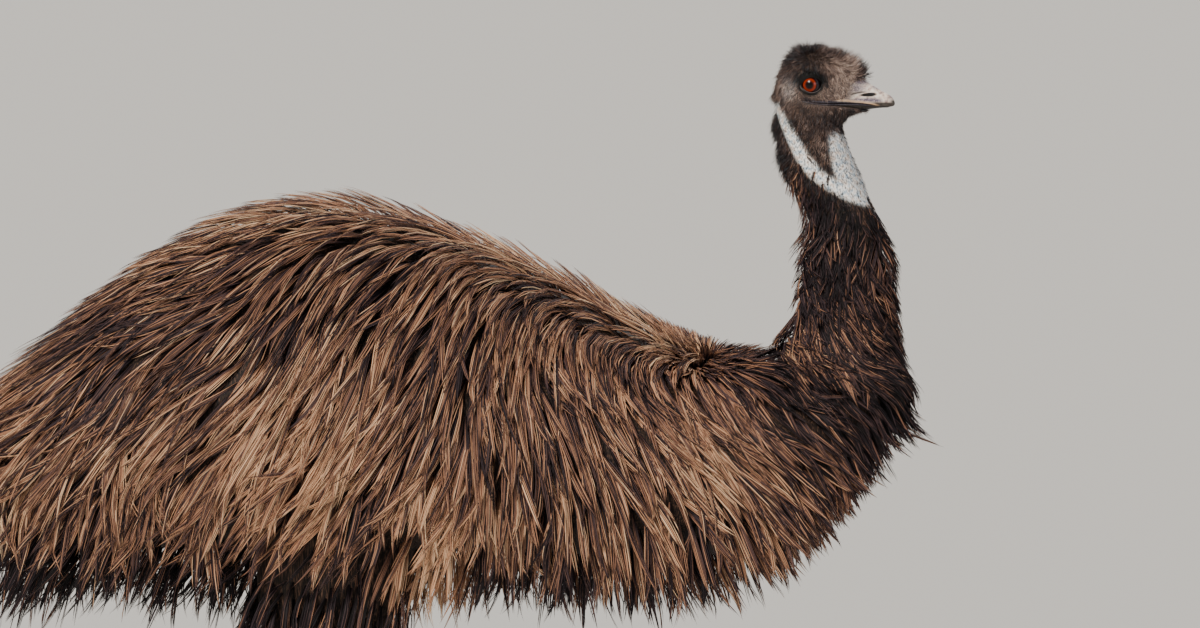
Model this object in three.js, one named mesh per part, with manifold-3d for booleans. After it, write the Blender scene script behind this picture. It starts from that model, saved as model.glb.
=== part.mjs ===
// A standing emu, life size, as a still display model.
//
// Millimetres, +Z up. The bird faces +X, its left side is +Y, and it stands on the plane z = 0.
// Every solid of flesh gives the outline out to the tips of the plumage, so the bare body of a
// real bird would lie some 4 cm inside the trunk and a few millimetres inside the face.
// The bird is shaped whole, as lofts, and then parted by thin gaps where a person would name
// its parts. At the end the whole group is shifted so that the origin is under its middle.

import * as THREE from "three";
import { mergeVertices } from "three/addons/utils/BufferGeometryUtils.js";
import Module from "manifold-3d";

const wasm = await Module();
wasm.setup();

// Driving dimensions

const GAP = 0.3; // between neighbouring hard solids, and at the plane cuts
const SEAT = 1; // by which the round hollow for a neighbour is larger, where plumage meets plumage

const BREAST_X = 641; // front of the breast plumage
const TAIL_X = -655; // tips of the tail plumes
const WIDEST_X = -50; // where the trunk is broadest
const TRUNK_HALF_WIDTH = 262;
const BREAST_CUT_X = 330; // the planes that part the trunk
const RUMP_CUT_X = -260;
const TAIL_CUT_X = -480;

const NECK_CUT_Z = 1085; // where the long plumes of the neck give way to short ones
const HEAD_BACK_X = 458;
const HEAD_FRONT_X = 584; // tips of the bristles on the forehead
const BILL_BASE_X = 536;
const BILL_TIP_X = 609;
const LOWER_TIP_X = 604; // the lower half of the bill ends behind the hook of the upper one
const MOUTH_Z = 1221;

const EYE = { x: 507.5, y: 18.6, z: 1246, radius: 15 };

const LEG_Y = 108; // half the distance between the feet
const STRIDE = 46; // the right foot stands this far ahead of the hips, the left one behind
const LEG_X = -36; // moves both legs along the body, to stand under its weight
const SHANK_TOP_Z = 452; // lower edge of the thigh's plumage
const TARSUS_TOP_Z = 352;
const FOOT_TOP_Z = 58;
const TOES = [
  { name: "inner", turn: 33, length: 66, claw: 24, girth: 12 },
  { name: "middle", turn: 0, length: 104, claw: 29, girth: 14.5 },
  { name: "outer", turn: -31, length: 76, claw: 24, girth: 12.5 },
];

// Colours and finishes of the plain solids

const finish = (color, roughness) =>
  new THREE.MeshStandardMaterial({ color, roughness, metalness: 0 });
const PLUMAGE = finish("#5a4334", 0.85);
const FACE = finish("#4a403b", 0.8);
const HORN = finish("#8d8078", 0.45);
const EYEBALL = finish("#8c2a0c", 0.1);
const SCALES = finish("#4d443c", 0.6);
const CLAW = finish("#26221f", 0.4);

// Curves and lofts

// A smooth line through [position, value] pairs that never swings past them.
function through(pairs) {
  const n = pairs.length;
  const slope = [];
  for (let i = 0; i < n - 1; i++)
    slope.push((pairs[i + 1][1] - pairs[i][1]) / (pairs[i + 1][0] - pairs[i][0]));
  const tangent = pairs.map((_, i) => {
    if (i === 0) return slope[0];
    if (i === n - 1) return slope[n - 2];
    const [a, b] = [slope[i - 1], slope[i]];
    return a * b <= 0 ? 0 : (2 * a * b) / (a + b);
  });
  return (x) => {
    let i = 0;
    while (i < n - 2 && x > pairs[i + 1][0]) i++;
    const h = pairs[i + 1][0] - pairs[i][0];
    const t = THREE.MathUtils.clamp((x - pairs[i][0]) / h, 0, 1);
    const [t2, t3] = [t * t, t * t * t];
    return (
      (2 * t3 - 3 * t2 + 1) * pairs[i][1] +
      (t3 - 2 * t2 + t) * h * tangent[i] +
      (3 * t2 - 2 * t3) * pairs[i + 1][1] +
      (t3 - t2) * h * tangent[i + 1]
    );
  };
}

// A superellipse's coordinate: power 2 is round, more is boxier, less is roof-like.
const bulge = (c, power) => Math.sign(c) * Math.abs(c) ** (2 / power);

// One ring of a loft: half sizes to the left and right, and above and below the centre.
function ring({ centre, across, above, half, up, down, upPower = 2, downPower = 2 }, sides) {
  const points = [];
  for (let i = 0; i < sides; i++) {
    const angle = (2 * Math.PI * i) / sides;
    const [c, s] = [Math.cos(angle), Math.sin(angle)];
    const power = s > 0 ? upPower : downPower;
    points.push(
      centre
        .clone()
        .addScaledVector(across, half * bulge(c, power))
        .addScaledVector(above, (s > 0 ? up : down) * bulge(s, power)),
    );
  }
  return points;
}

// A closed solid through rings. Each end is closed by a fan to the middle of its ring.
function loft(rings) {
  const sides = rings[0].length;
  const middle = (points) =>
    points.reduce((sum, p) => sum.add(p), new THREE.Vector3()).divideScalar(points.length);
  const points = [...rings.flat(), middle(rings[0]), middle(rings.at(-1))];
  const [first, last] = [points.length - 2, points.length - 1];
  const faces = [];
  for (let i = 0; i < sides; i++) {
    const j = (i + 1) % sides;
    faces.push(first, j, i);
    faces.push(last, (rings.length - 1) * sides + i, (rings.length - 1) * sides + j);
    for (let r = 0; r < rings.length - 1; r++) {
      const [a, b] = [r * sides, (r + 1) * sides];
      faces.push(a + i, a + j, b + j, a + i, b + j, b + i);
    }
  }
  const geometry = new THREE.BufferGeometry().setFromPoints(points);
  geometry.setIndex(faces);
  return solid(geometry);
}

// Even steps from a to b, or steps that crowd towards both ends for a round end.
const steps = (a, b, count) =>
  Array.from({ length: count + 1 }, (_, i) => a + ((b - a) * i) / count);
const roundSteps = (a, b, count) =>
  steps(0, Math.PI, count).map((t) => a + ((b - a) * (1 - Math.cos(t))) / 2);

// Moves a position outwards from the middle of a span, by up to the given growth at its ends.
const spread = (x, a, b, grow) => x + (2 * grow * (x - (a + b) / 2)) / (b - a);

const X = new THREE.Vector3(1, 0, 0);
const Y = new THREE.Vector3(0, 1, 0);
const Z = new THREE.Vector3(0, 0, 1);

// Solids and booleans

function solid(geometry) {
  const plain = geometry.clone();
  plain.deleteAttribute("normal");
  plain.deleteAttribute("uv");
  const merged = mergeVertices(plain, 1e-3);
  const made = new wasm.Manifold(
    new wasm.Mesh({
      numProp: 3,
      vertProperties: merged.attributes.position.array,
      triVerts: new Uint32Array(merged.index.array),
    }),
  );
  if (made.volume() >= 0) return made;
  const turned = new Uint32Array(merged.index.array);
  for (let i = 0; i < turned.length; i += 3)
    [turned[i + 1], turned[i + 2]] = [turned[i + 2], turned[i + 1]];
  return new wasm.Manifold(
    new wasm.Mesh({
      numProp: 3,
      vertProperties: merged.attributes.position.array,
      triVerts: turned,
    }),
  );
}

const REACH = 3000; // larger than the bird

function block(low, high) {
  const size = high.map((h, i) => h - low[i]);
  const geometry = new THREE.BoxGeometry(...size);
  geometry.translate(...low.map((l, i) => l + size[i] / 2));
  return solid(geometry);
}

// The part of a solid between two planes across an axis, with half a gap left at each cut.
function between(whole, axis, from, to) {
  const [low, high] = [[-REACH, -REACH, -REACH], [REACH, REACH, REACH]];
  if (Number.isFinite(from)) low[axis] = from + GAP / 2;
  if (Number.isFinite(to)) high[axis] = to - GAP / 2;
  return whole.intersect(block(low, high));
}

const aboveFloor = (whole) => whole.intersect(block([-REACH, -REACH, 0], [REACH, REACH, REACH]));

// The largest connected piece, without the slivers that a cut may leave.
const largest = (whole) =>
  whole.decompose().sort((a, b) => b.volume() - a.volume())[0];

const bird = new THREE.Group();

function part(name, shape, material) {
  const { vertProperties, triVerts, numProp } = largest(shape.simplify(0.04)).getMesh();
  const points = new Float32Array((vertProperties.length / numProp) * 3);
  for (let i = 0; i < points.length / 3; i++)
    points.set(vertProperties.subarray(i * numProp, i * numProp + 3), i * 3);
  const geometry = new THREE.BufferGeometry();
  geometry.setAttribute("position", new THREE.BufferAttribute(points, 3));
  geometry.setIndex(new THREE.BufferAttribute(triVerts, 1));
  geometry.computeVertexNormals();
  const mesh = new THREE.Mesh(geometry, material);
  mesh.name = name;
  bird.add(mesh);
}

// Trunk: a haystack of plumage, parted along a rounded ridge

const backLine = through([
  [TAIL_X, 640], [-640, 708], [-590, 800], [-529, 871], [-404, 976], [-300, 1052],
  [-200, 1095], [-117, 1110], [-2, 1092], [103, 1057], [218, 1003], [289, 961],
  [350, 938], [400, 924], [440, 917], [540, 930], [600, 920], [621, 911], [636, 876],
  [BREAST_X, 857],
]);
const bellyLine = through([
  [TAIL_X, 626], [-640, 588], [-600, 570], [-520, 572], [-427, 598], [-330, 600],
  [247, 606], [340, 596], [433, 622], [515, 678], [584, 770], [616, 808], [635, 838],
  [BREAST_X, 854],
]);

function trunkHalfWidth(x) {
  const [end, roundness] = x > WIDEST_X ? [BREAST_X, 2.8] : [TAIL_X, 2.3];
  const share = Math.min(1, Math.abs((x - WIDEST_X) / (end - WIDEST_X)));
  return TRUNK_HALF_WIDTH * Math.sqrt(1 - share ** roundness) + 1;
}

function trunk(grow = 0) {
  return loft(
    roundSteps(TAIL_X, BREAST_X, 28).map((x) => {
      const [top, bottom] = [backLine(x) + grow, bellyLine(x) - grow];
      const widest = bottom + 0.38 * (top - bottom);
      return ring(
        {
          centre: new THREE.Vector3(spread(x, TAIL_X, BREAST_X, grow), 0, widest),
          across: Y,
          above: Z,
          half: trunkHalfWidth(x) + grow,
          up: top - widest,
          down: widest - bottom,
          upPower: 1.9,
          downPower: 2.6,
        },
        30,
      );
    }),
  );
}

// Neck: level rings on a bent line, from inside the breast to inside the head

const neckMiddle = through([
  [860, 545], [925, 538], [962, 547], [1031, 547], [1071, 546], [1098, 534],
  [1121, 524], [1163, 508], [1190, 499], [1220, 496],
]);
const neckHalfDepth = through([
  [860, 92], [925, 83], [962, 71], [1031, 69], [1052, 60], [1098, 47],
  [1142, 48], [1163, 46], [1190, 43], [1220, 40],
]);
const NECK_FLATNESS = 0.84; // breadth over depth

function neck() {
  return loft(
    steps(860, 1220, 14).map((z) =>
      ring(
        {
          centre: new THREE.Vector3(neckMiddle(z), 0, z),
          across: X,
          above: Y,
          half: neckHalfDepth(z),
          up: neckHalfDepth(z) * NECK_FLATNESS,
          down: neckHalfDepth(z) * NECK_FLATNESS,
        },
        20,
      ),
    ),
  );
}

// Head: from the nape to the bristles over the bill

const crownLine = through([
  [HEAD_BACK_X, 1246], [463, 1261], [472, 1277], [482, 1291], [495, 1300], [530, 1304],
  [550, 1292], [567, 1281], [578, 1271], [HEAD_FRONT_X, 1261],
]);
const jawLine = through([
  [HEAD_BACK_X, 1238], [463, 1208], [476, 1195], [507, 1194], [540, 1199],
  [560, 1207], [575, 1213], [581, 1246], [HEAD_FRONT_X, 1256],
]);
const headHalfWidth = through([
  [HEAD_BACK_X, 3], [463, 17], [474, 26], [488, 31], [507, 32.5], [528, 30],
  [545, 26], [560, 20.5], [573, 14], [HEAD_FRONT_X, 3],
]);

function head(grow = 0) {
  return loft(
    roundSteps(HEAD_BACK_X, HEAD_FRONT_X, 18).map((x) => {
      const [top, bottom] = [crownLine(x) + grow, jawLine(x) - grow];
      const widest = bottom + 0.52 * (top - bottom);
      return ring(
        {
          centre: new THREE.Vector3(spread(x, HEAD_BACK_X, HEAD_FRONT_X, grow), 0, widest),
          across: Y,
          above: Z,
          half: headHalfWidth(x) + grow,
          up: top - widest,
          down: widest - bottom,
          upPower: 2.2,
          downPower: 2.2,
        },
        22,
      );
    }),
  );
}

// Bill: two flat, blunt halves that meet along the mouth

const culmenLine = through([
  [BILL_BASE_X, 1256], [560, 1252.5], [575, 1247.5], [590, 1238], [601, 1231.5],
  [606.5, 1227], [BILL_TIP_X, 1222.5],
]);
const billEdgeLine = through([
  [BILL_BASE_X, MOUTH_Z], [590, MOUTH_Z - 0.6], [601, MOUTH_Z - 3], [607, MOUTH_Z - 4],
  [BILL_TIP_X, MOUTH_Z],
]);
const chinLine = through([
  [BILL_BASE_X, 1209], [560, 1209.5], [580, 1212.5], [598, 1215.6], [604, 1217],
]);
const billHalfWidth = through([
  [BILL_BASE_X, 18], [560, 15.5], [580, 11.6], [596, 8.4], [605, 5.4], [BILL_TIP_X, 2.2],
]);

function upperBill(grow = 0) {
  return loft(
    steps(BILL_BASE_X, BILL_TIP_X, 10).map((x) =>
      ring(
        {
          centre: new THREE.Vector3(
            spread(x, BILL_BASE_X, BILL_TIP_X, grow),
            0,
            billEdgeLine(x) + GAP / 2 - grow,
          ),
          across: Y,
          above: Z,
          half: billHalfWidth(x) + grow,
          up: culmenLine(x) - billEdgeLine(x) + 2 * grow,
          down: 0.3,
          upPower: 2.1,
          downPower: 2,
        },
        14,
      ),
    ),
  );
}

function lowerBill(grow = 0) {
  return loft(
    steps(BILL_BASE_X, LOWER_TIP_X, 8).map((x) =>
      ring(
        {
          centre: new THREE.Vector3(
            spread(x, BILL_BASE_X, LOWER_TIP_X, grow),
            0,
            billEdgeLine(x) - GAP / 2 - 0.3 + grow,
          ),
          across: Y,
          above: Z,
          half: 0.93 * billHalfWidth(x) + grow,
          up: 0.1,
          down: Math.max(0.6, billEdgeLine(x) - chinLine(x)) + 2 * grow,
          upPower: 2,
          downPower: 2.2,
        },
        12,
      ),
    ),
  );
}

function eyeball(side, grow = 0) {
  const sphere = new THREE.SphereGeometry(EYE.radius + grow, 14, 9);
  sphere.translate(EYE.x, side * EYE.y, EYE.z);
  return solid(sphere);
}

// Legs: a feathered thigh, then a bare, scaled shank, hock, tarsus and foot

const strideAt = (side, z) =>
  -side * STRIDE * THREE.MathUtils.clamp((700 - z) / 260, 0, 1) +
  LEG_X * THREE.MathUtils.clamp((700 - z) / 200, 0, 1);

const thighMiddle = through([[452, -76], [480, -92], [520, -98], [600, -102], [660, -100]]);
const thighHalfDepth = through([
  [452, 42], [480, 84], [520, 134], [560, 172], [600, 192], [660, 200],
]);
const thighHalfWidth = through([[452, 36], [480, 58], [520, 76], [600, 92], [660, 98]]);

function thigh(side) {
  return loft(
    steps(SHANK_TOP_Z, 660, 8).map((z) =>
      ring(
        {
          centre: new THREE.Vector3(thighMiddle(z) + strideAt(side, z), side * (LEG_Y + 12), z),
          across: X,
          above: Y,
          half: thighHalfDepth(z),
          up: thighHalfWidth(z),
          down: thighHalfWidth(z),
        },
        18,
      ),
    ),
  );
}

const legMiddle = through([
  [FOOT_TOP_Z, -46], [90, -50], [300, -74], [352, -82], [392, -88], [430, -82], [452, -76],
]);
const legHalfDepth = through([
  [FOOT_TOP_Z, 23], [90, 19.5], [160, 18], [300, 20], [345, 25], [388, 33], [415, 29], [452, 25],
]);
const legHalfWidth = through([
  [FOOT_TOP_Z, 24], [90, 18], [160, 15.5], [300, 17], [345, 22], [388, 27], [415, 23], [452, 21],
]);

function lowerLeg(side) {
  return loft(
    steps(FOOT_TOP_Z, SHANK_TOP_Z - GAP, 14).map((z) =>
      ring(
        {
          centre: new THREE.Vector3(legMiddle(z) + strideAt(side, z), side * LEG_Y, z),
          across: X,
          above: Y,
          half: legHalfDepth(z),
          up: legHalfWidth(z),
          down: legHalfWidth(z),
        },
        12,
      ),
    ),
  );
}

const FOOT_X = -40; // middle of the pad under the foot, before the stride is added
const padRadius = through([[-3, 30], [12, 35], [28, 33], [44, 27], [FOOT_TOP_Z, 23.5]]);

function footPad(side) {
  return loft(
    steps(-3, FOOT_TOP_Z - GAP, 7).map((z) =>
      ring(
        {
          centre: new THREE.Vector3(
            FOOT_X - 0.12 * Math.max(0, z) + strideAt(side, 0),
            side * LEG_Y,
            z,
          ),
          across: X,
          above: Y,
          half: padRadius(z),
          up: padRadius(z),
          down: padRadius(z),
        },
        14,
      ),
    ),
  );
}

// A ring across a toe, at a distance from the foot's middle.
function toeRing(side, toe, distance, { height, half, up, down }, sides) {
  const turn = THREE.MathUtils.degToRad(-side * toe.turn);
  const ahead = new THREE.Vector3(Math.cos(turn), Math.sin(turn), 0);
  return ring(
    {
      centre: new THREE.Vector3(FOOT_X + strideAt(side, 0), side * LEG_Y, height).addScaledVector(
        ahead,
        distance,
      ),
      across: new THREE.Vector3().crossVectors(Z, ahead),
      above: Z,
      half,
      up,
      down,
    },
    sides,
  );
}

const TOE_BASE = 12; // where a toe starts inside the foot's pad
const TOE_JOINTS = 3; // swellings under and over a toe

function toe(side, data, grow = 0) {
  const reach = 34 + data.length + grow;
  return loft(
    steps(0, 1, 8).map((t) => {
      const end = Math.sqrt(Math.max(0.02, 1 - Math.max(0, (t - 0.86) / 0.14) ** 2));
      const swell = 1 + 0.07 * Math.cos(2 * Math.PI * TOE_JOINTS * t);
      const girth = data.girth * (1.12 - 0.42 * t) * swell * (0.55 + 0.45 * end);
      const size = girth + grow;
      return toeRing(
        side,
        data,
        TOE_BASE + t * (reach - TOE_BASE),
        { height: 0.82 * girth, half: size, up: size, down: size },
        10,
      );
    }),
  );
}

const foot = (side) =>
  aboveFloor(TOES.reduce((whole, data) => whole.add(toe(side, data)), footPad(side)));

function claw(side, data) {
  const start = 34 + data.length - 7;
  return loft(
    steps(0, 1, 4).map((t) => {
      const thick = data.girth * 0.52 * (1 - t) ** 0.8 + 0.7;
      return toeRing(
        side,
        data,
        start + t * (data.claw + 7),
        {
          height: data.girth * (0.62 - 0.45 * t * t) + 0.6,
          half: thick,
          up: thick,
          down: thick * 0.8,
        },
        7,
      );
    }),
  ).subtract(toe(side, data, GAP));
}

// The bird's parts

const wholeTrunk = trunk();
const thighs = { left: thigh(1), right: thigh(-1) };
part("breast", between(wholeTrunk, 0, BREAST_CUT_X, Infinity), PLUMAGE);
part("trunk", between(wholeTrunk, 0, RUMP_CUT_X, BREAST_CUT_X), PLUMAGE);
part("rump", between(wholeTrunk, 0, TAIL_CUT_X, RUMP_CUT_X), PLUMAGE);
part("tail", between(wholeTrunk, 0, -Infinity, TAIL_CUT_X), PLUMAGE);

const wholeNeck = neck().subtract(trunk(SEAT)).subtract(head(SEAT));
part("neck_lower", between(wholeNeck, 2, -Infinity, NECK_CUT_Z), PLUMAGE);
part("neck_upper", between(wholeNeck, 2, NECK_CUT_Z, Infinity), PLUMAGE);

const billHollow = upperBill(GAP).add(lowerBill(GAP));
const sockets = eyeball(1, GAP).add(eyeball(-1, GAP));
part("head", head().subtract(billHollow).subtract(sockets), FACE);
part("bill_upper", upperBill(), HORN);
part("bill_lower", lowerBill(), HORN);

for (const [name, side] of [["left", 1], ["right", -1]]) {
  part(`eye_${name}`, eyeball(side), EYEBALL);
  part(`thigh_${name}`, thighs[name].subtract(trunk(SEAT)), PLUMAGE);
  const leg = lowerLeg(side);
  part(`shank_${name}`, between(leg, 2, TARSUS_TOP_Z, Infinity), SCALES);
  part(`tarsus_${name}`, between(leg, 2, -Infinity, TARSUS_TOP_Z), SCALES);
  part(`foot_${name}`, foot(side), SCALES);
  for (const data of TOES) part(`claw_${data.name}_${name}`, claw(side, data), CLAW);
}

// The origin goes on the floor, under the middle of the bird's box.
const box = new THREE.Box3().setFromObject(bird);
const centre = box.getCenter(new THREE.Vector3());
for (const mesh of bird.children) mesh.geometry.translate(-centre.x, -centre.y, -box.min.z);

export default bird;
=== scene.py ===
# %% [markdown]
# # An emu, life size, in its coat
# This lesson dresses a plain solid model of a standing emu. The solids already have the right
# outline, out to the tips of the plumage, and they stay as they are. Around them come one skin
# for all the flesh, a bill of horn, two wet eyes, scutes and claws, and on top of the skin the
# long double plumes that make an emu look like a haystack. The bird faces +X, its left side is
# +Y, and everything is in metres.

import math

import bpy
import numpy as np
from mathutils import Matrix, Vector
from mathutils.bvhtree import BVHTree
from mathutils.kdtree import KDTree


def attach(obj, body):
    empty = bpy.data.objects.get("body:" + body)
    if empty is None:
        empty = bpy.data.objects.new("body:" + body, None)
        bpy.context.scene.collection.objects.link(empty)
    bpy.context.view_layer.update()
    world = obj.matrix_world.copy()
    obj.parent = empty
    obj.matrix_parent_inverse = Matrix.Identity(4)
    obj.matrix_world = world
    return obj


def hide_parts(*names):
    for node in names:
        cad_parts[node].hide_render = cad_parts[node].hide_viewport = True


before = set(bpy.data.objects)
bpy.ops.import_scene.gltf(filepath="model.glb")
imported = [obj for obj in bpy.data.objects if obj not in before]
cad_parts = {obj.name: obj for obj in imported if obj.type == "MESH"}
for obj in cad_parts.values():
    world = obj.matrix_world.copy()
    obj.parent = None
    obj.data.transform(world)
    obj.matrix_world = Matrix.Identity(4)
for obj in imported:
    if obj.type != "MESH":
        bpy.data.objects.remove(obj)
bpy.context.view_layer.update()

MM = 0.001
chance = np.random.default_rng(1788)

# %% [markdown]
# ## Camera, floor and light
# The bird was seen from its right, a little from the front and from slightly above its back,
# through a long lens: a picture 1.5 m wide at 7 m. The lens looks slightly down, so a wide pale
# floor fills the frame behind the bird. Nothing stands on the floor, so the bird can be looked
# at from every side. Broad, distant lamps light all of the floor alike and give soft edges to
# the shadows between the plumes.

# %% Camera
DISTANCE = 7.0
AZIMUTH, ELEVATION = math.radians(8), math.radians(6)
LOOK_AT = Vector((0.248, 0.0, 0.955))
MM_PER_PIXEL = 1.25  # at the bird's middle
FRAME_PIXELS = 1200
SENSOR_WIDTH = 36


def add_object(name, data):
    """A new object in the scene."""
    made = bpy.data.objects.new(name, data)
    bpy.context.collection.objects.link(made)
    return made

toward_camera = Vector((
    math.sin(AZIMUTH) * math.cos(ELEVATION),
    -math.cos(AZIMUTH) * math.cos(ELEVATION),
    math.sin(ELEVATION),
))
lens = bpy.data.cameras.new("camera")
lens.sensor_width = SENSOR_WIDTH
lens.lens = SENSOR_WIDTH * DISTANCE / (FRAME_PIXELS * MM_PER_PIXEL * MM)
lens.clip_end = 100
camera = add_object("camera", lens)
camera.location = LOOK_AT + DISTANCE * toward_camera
camera.rotation_euler = (-toward_camera).to_track_quat("-Z", "Y").to_euler()
bpy.context.scene.camera = camera
print("lens", round(lens.lens, 1), "mm, camera height", round(camera.location.z, 2), "m")


# %% Colours and node trees
def tint(code):
    """An sRGB hex code as the linear, opaque colour that Blender works in."""
    channels = [int(code[i:i + 2], 16) / 255 for i in (1, 3, 5)]
    return (*[c / 12.92 if c <= 0.04045 else ((c + 0.055) / 1.055) ** 2.4 for c in channels], 1.0)


def node(tree, kind, settings=None, **links):
    """Adds a node. A link is named by its input; a tuple (node, output) joins, the rest is set."""
    made = tree.nodes.new(kind)
    for name, value in (settings or {}).items():
        setattr(made, name, value)
    for name, value in links.items():
        socket = made.inputs[int(name[1:])] if name[1:].isdigit() else made.inputs[name.replace("_", " ")]
        if isinstance(value, tuple) and hasattr(value[0], "outputs"):
            tree.links.new(value[0].outputs[value[1]], socket)
        else:
            socket.default_value = value
    return made


def finish_of(name, roughness, **constants):
    """A new material, with its shader and a place to read object coordinates."""
    material = bpy.data.materials.new(name)
    material.use_nodes = True
    tree = material.node_tree
    shader = tree.nodes["Principled BSDF"]
    shader.inputs["Roughness"].default_value = roughness
    for key, value in constants.items():
        shader.inputs[key.replace("_", " ")].default_value = value
    place = node(tree, "ShaderNodeTexCoord")
    return material, tree, shader, place


def noise(tree, where, scale, detail, stretch=(1, 1, 1)):
    """Soft noise, read at places that are stretched first."""
    spread = node(tree, "ShaderNodeMapping", Vector=where, Scale=stretch)
    return node(tree, "ShaderNodeTexNoise", Vector=(spread, "Vector"), Scale=scale, Detail=detail), "Fac"


def attribute(tree, name):
    """The value that each point of the mesh carries under a name."""
    return node(tree, "ShaderNodeAttribute", {"attribute_name": name}), "Fac"


def ranged(tree, value, low, high, at_low, at_high, kind="SMOOTHSTEP"):
    """Values from low to high, carried over to the range from at_low to at_high."""
    return node(tree, "ShaderNodeMapRange", {"interpolation_type": kind}, Value=value,
                From_Min=low, From_Max=high, To_Min=at_low, To_Max=at_high), "Result"


def summed(tree, total, *others):
    for other in others:
        total = node(tree, "ShaderNodeMath", {"operation": "ADD"}, _0=total, _1=other), "Value"
    return total


def mixed(tree, share, below, above, blend="MIX"):
    """Lays one colour over another where the share is 1."""
    return node(tree, "ShaderNodeMix", {"data_type": "RGBA", "blend_type": blend},
                Factor=share, _6=below, _7=above), 2


def ramp(tree, factor, stops):
    """A colour ramp through (position, hex) stops."""
    made = node(tree, "ShaderNodeValToRGB", Fac=factor)
    line = made.color_ramp
    while len(line.elements) < len(stops):
        line.elements.new(0.5)
    for element, (position, code) in zip(line.elements, stops):
        element.position = position
        element.color = tint(code)
    return made, "Color"


def paint(tree, shader, colour):
    tree.links.new(colour[0].outputs[colour[1]], shader.inputs["Base Color"])


def bump(tree, shader, height, depth_mm):
    """Fine relief, drawn by the shader only."""
    made = node(tree, "ShaderNodeBump", Height=height, Distance=depth_mm * MM, Strength=1.0)
    tree.links.new(made.outputs["Normal"], shader.inputs["Normal"])


# %% Studio floor
def mesh_object(name, points, faces):
    """A smooth mesh object from a list of points and one or more arrays of faces."""
    mesh = bpy.data.meshes.new(name)
    groups = [np.asarray(group, dtype=np.int32) for group in faces if len(group)]
    mesh.vertices.add(len(points))
    mesh.vertices.foreach_set("co", np.asarray(points, dtype=np.float32).ravel())
    mesh.loops.add(sum(group.size for group in groups))
    mesh.loops.foreach_set("vertex_index", np.concatenate([group.ravel() for group in groups]))
    sizes = np.concatenate([np.full(len(group), group.shape[1]) for group in groups])
    mesh.polygons.add(len(sizes))
    mesh.polygons.foreach_set("loop_start", np.concatenate([[0], np.cumsum(sizes)[:-1]]))
    mesh.polygons.foreach_set("use_smooth", np.full(len(sizes), True))
    mesh.update(calc_edges=True)
    mesh.validate()
    return add_object(name, mesh)


def studio_floor(radius=120.0, sides=72):
    turns = [2 * math.pi * i / sides for i in range(sides)]
    points = [(radius * math.cos(t), radius * math.sin(t), 0.0) for t in turns]
    return mesh_object("studio_floor", points, [[tuple(range(sides))]])


floor = studio_floor()
# Matte studio paper: a pale warm grey with no sheen, so it stays even right to the horizon.
paper, tree, shader, place = finish_of("studio_paper", 1.0, Specular_IOR_Level=0.0)
shader.inputs["Base Color"].default_value = tint("#cfcdc9")
floor.data.materials.append(paper)


# %% Lamps
LIT_POINT = Vector((0.0, 0.0, 0.85))


def lamp(name, where, breadth, strength, code):
    """A distant lamp that shines from a place towards the bird, as broad as its angle says."""
    light = bpy.data.lights.new(name, "SUN")
    light.angle = math.radians(breadth)
    light.energy = strength
    light.color = tint(code)[:3]
    made = add_object(name, light)
    made.location = Vector(where)
    made.rotation_euler = (LIT_POINT - made.location).to_track_quat("-Z", "Y").to_euler()


lamp("key", (-1.8, -4.2, 4.2), 17, 4.2, "#fff6ea")
lamp("fill", (4.2, -3.6, 1.8), 28, 0.6, "#eaf1ff")
lamp("rim", (0.5, 3.2, 3.6), 30, 1.0, "#ffffff")
world = bpy.data.worlds.new("soft_sky")
world.use_nodes = True
sky = world.node_tree.nodes["Background"].inputs
sky["Color"].default_value, sky["Strength"].default_value = tint("#e8ecf2"), 0.34
bpy.context.scene.world = world

# %% [markdown]
# ## The skin
# Under its plumes an emu is much slimmer than it looks. One skin covers the face, neck, trunk
# and thighs, without a seam. It is a loft: each ring is given by a point on the bird's upper
# outline, the point across from it on the lower outline, and a half width. On the head and at
# the foot of the neck the rings turn like the ribs of a fan, so that the body can bend.

# %% Smooth lines through measured values
def through(xs, ys):
    """A smooth line through points, that never swings past them."""
    xs, ys = np.asarray(xs, float), np.asarray(ys, float)
    slope = np.diff(ys) / np.diff(xs)
    tangent = np.empty_like(ys)
    tangent[0], tangent[-1] = slope[0], slope[-1]
    same = slope[:-1] * slope[1:] > 0
    total = np.where(same, slope[:-1] + slope[1:], 1.0)
    tangent[1:-1] = np.where(same, 2 * slope[:-1] * slope[1:] / total, 0.0)

    def value(x):
        i = np.clip(np.searchsorted(xs, x, side="right") - 1, 0, len(xs) - 2)
        h = xs[i + 1] - xs[i]
        t = np.clip((x - xs[i]) / h, 0, 1)
        return (
            (2 * t**3 - 3 * t**2 + 1) * ys[i]
            + (t**3 - 2 * t**2 + t) * h * tangent[i]
            + (3 * t**2 - 2 * t**3) * ys[i + 1]
            + (t**3 - t**2) * h * tangent[i + 1]
        )

    return value


def step_up(x, low, high):
    """0 below low, 1 above high, smooth between."""
    t = np.clip((np.asarray(x, float) - low) / (high - low), 0, 1)
    return t * t * (3 - 2 * t)


def hill(distance, width):
    """1 in the middle, falling off to nothing beyond about twice the width."""
    return np.exp(-((np.asarray(distance) / width) ** 2))


def turns_of(count):
    """Angles once around, evenly spaced."""
    return np.arange(count) * 2 * math.pi / count


def unit(vectors, least=1e-9):
    """Vectors of length 1; those shorter than the least length stay short."""
    return vectors / np.maximum(np.linalg.norm(vectors, axis=-1, keepdims=True), least)


def flattened(vectors, normals):
    """Vectors without the part that points along the normals."""
    return vectors - (vectors * normals).sum(-1, keepdims=True) * normals


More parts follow.
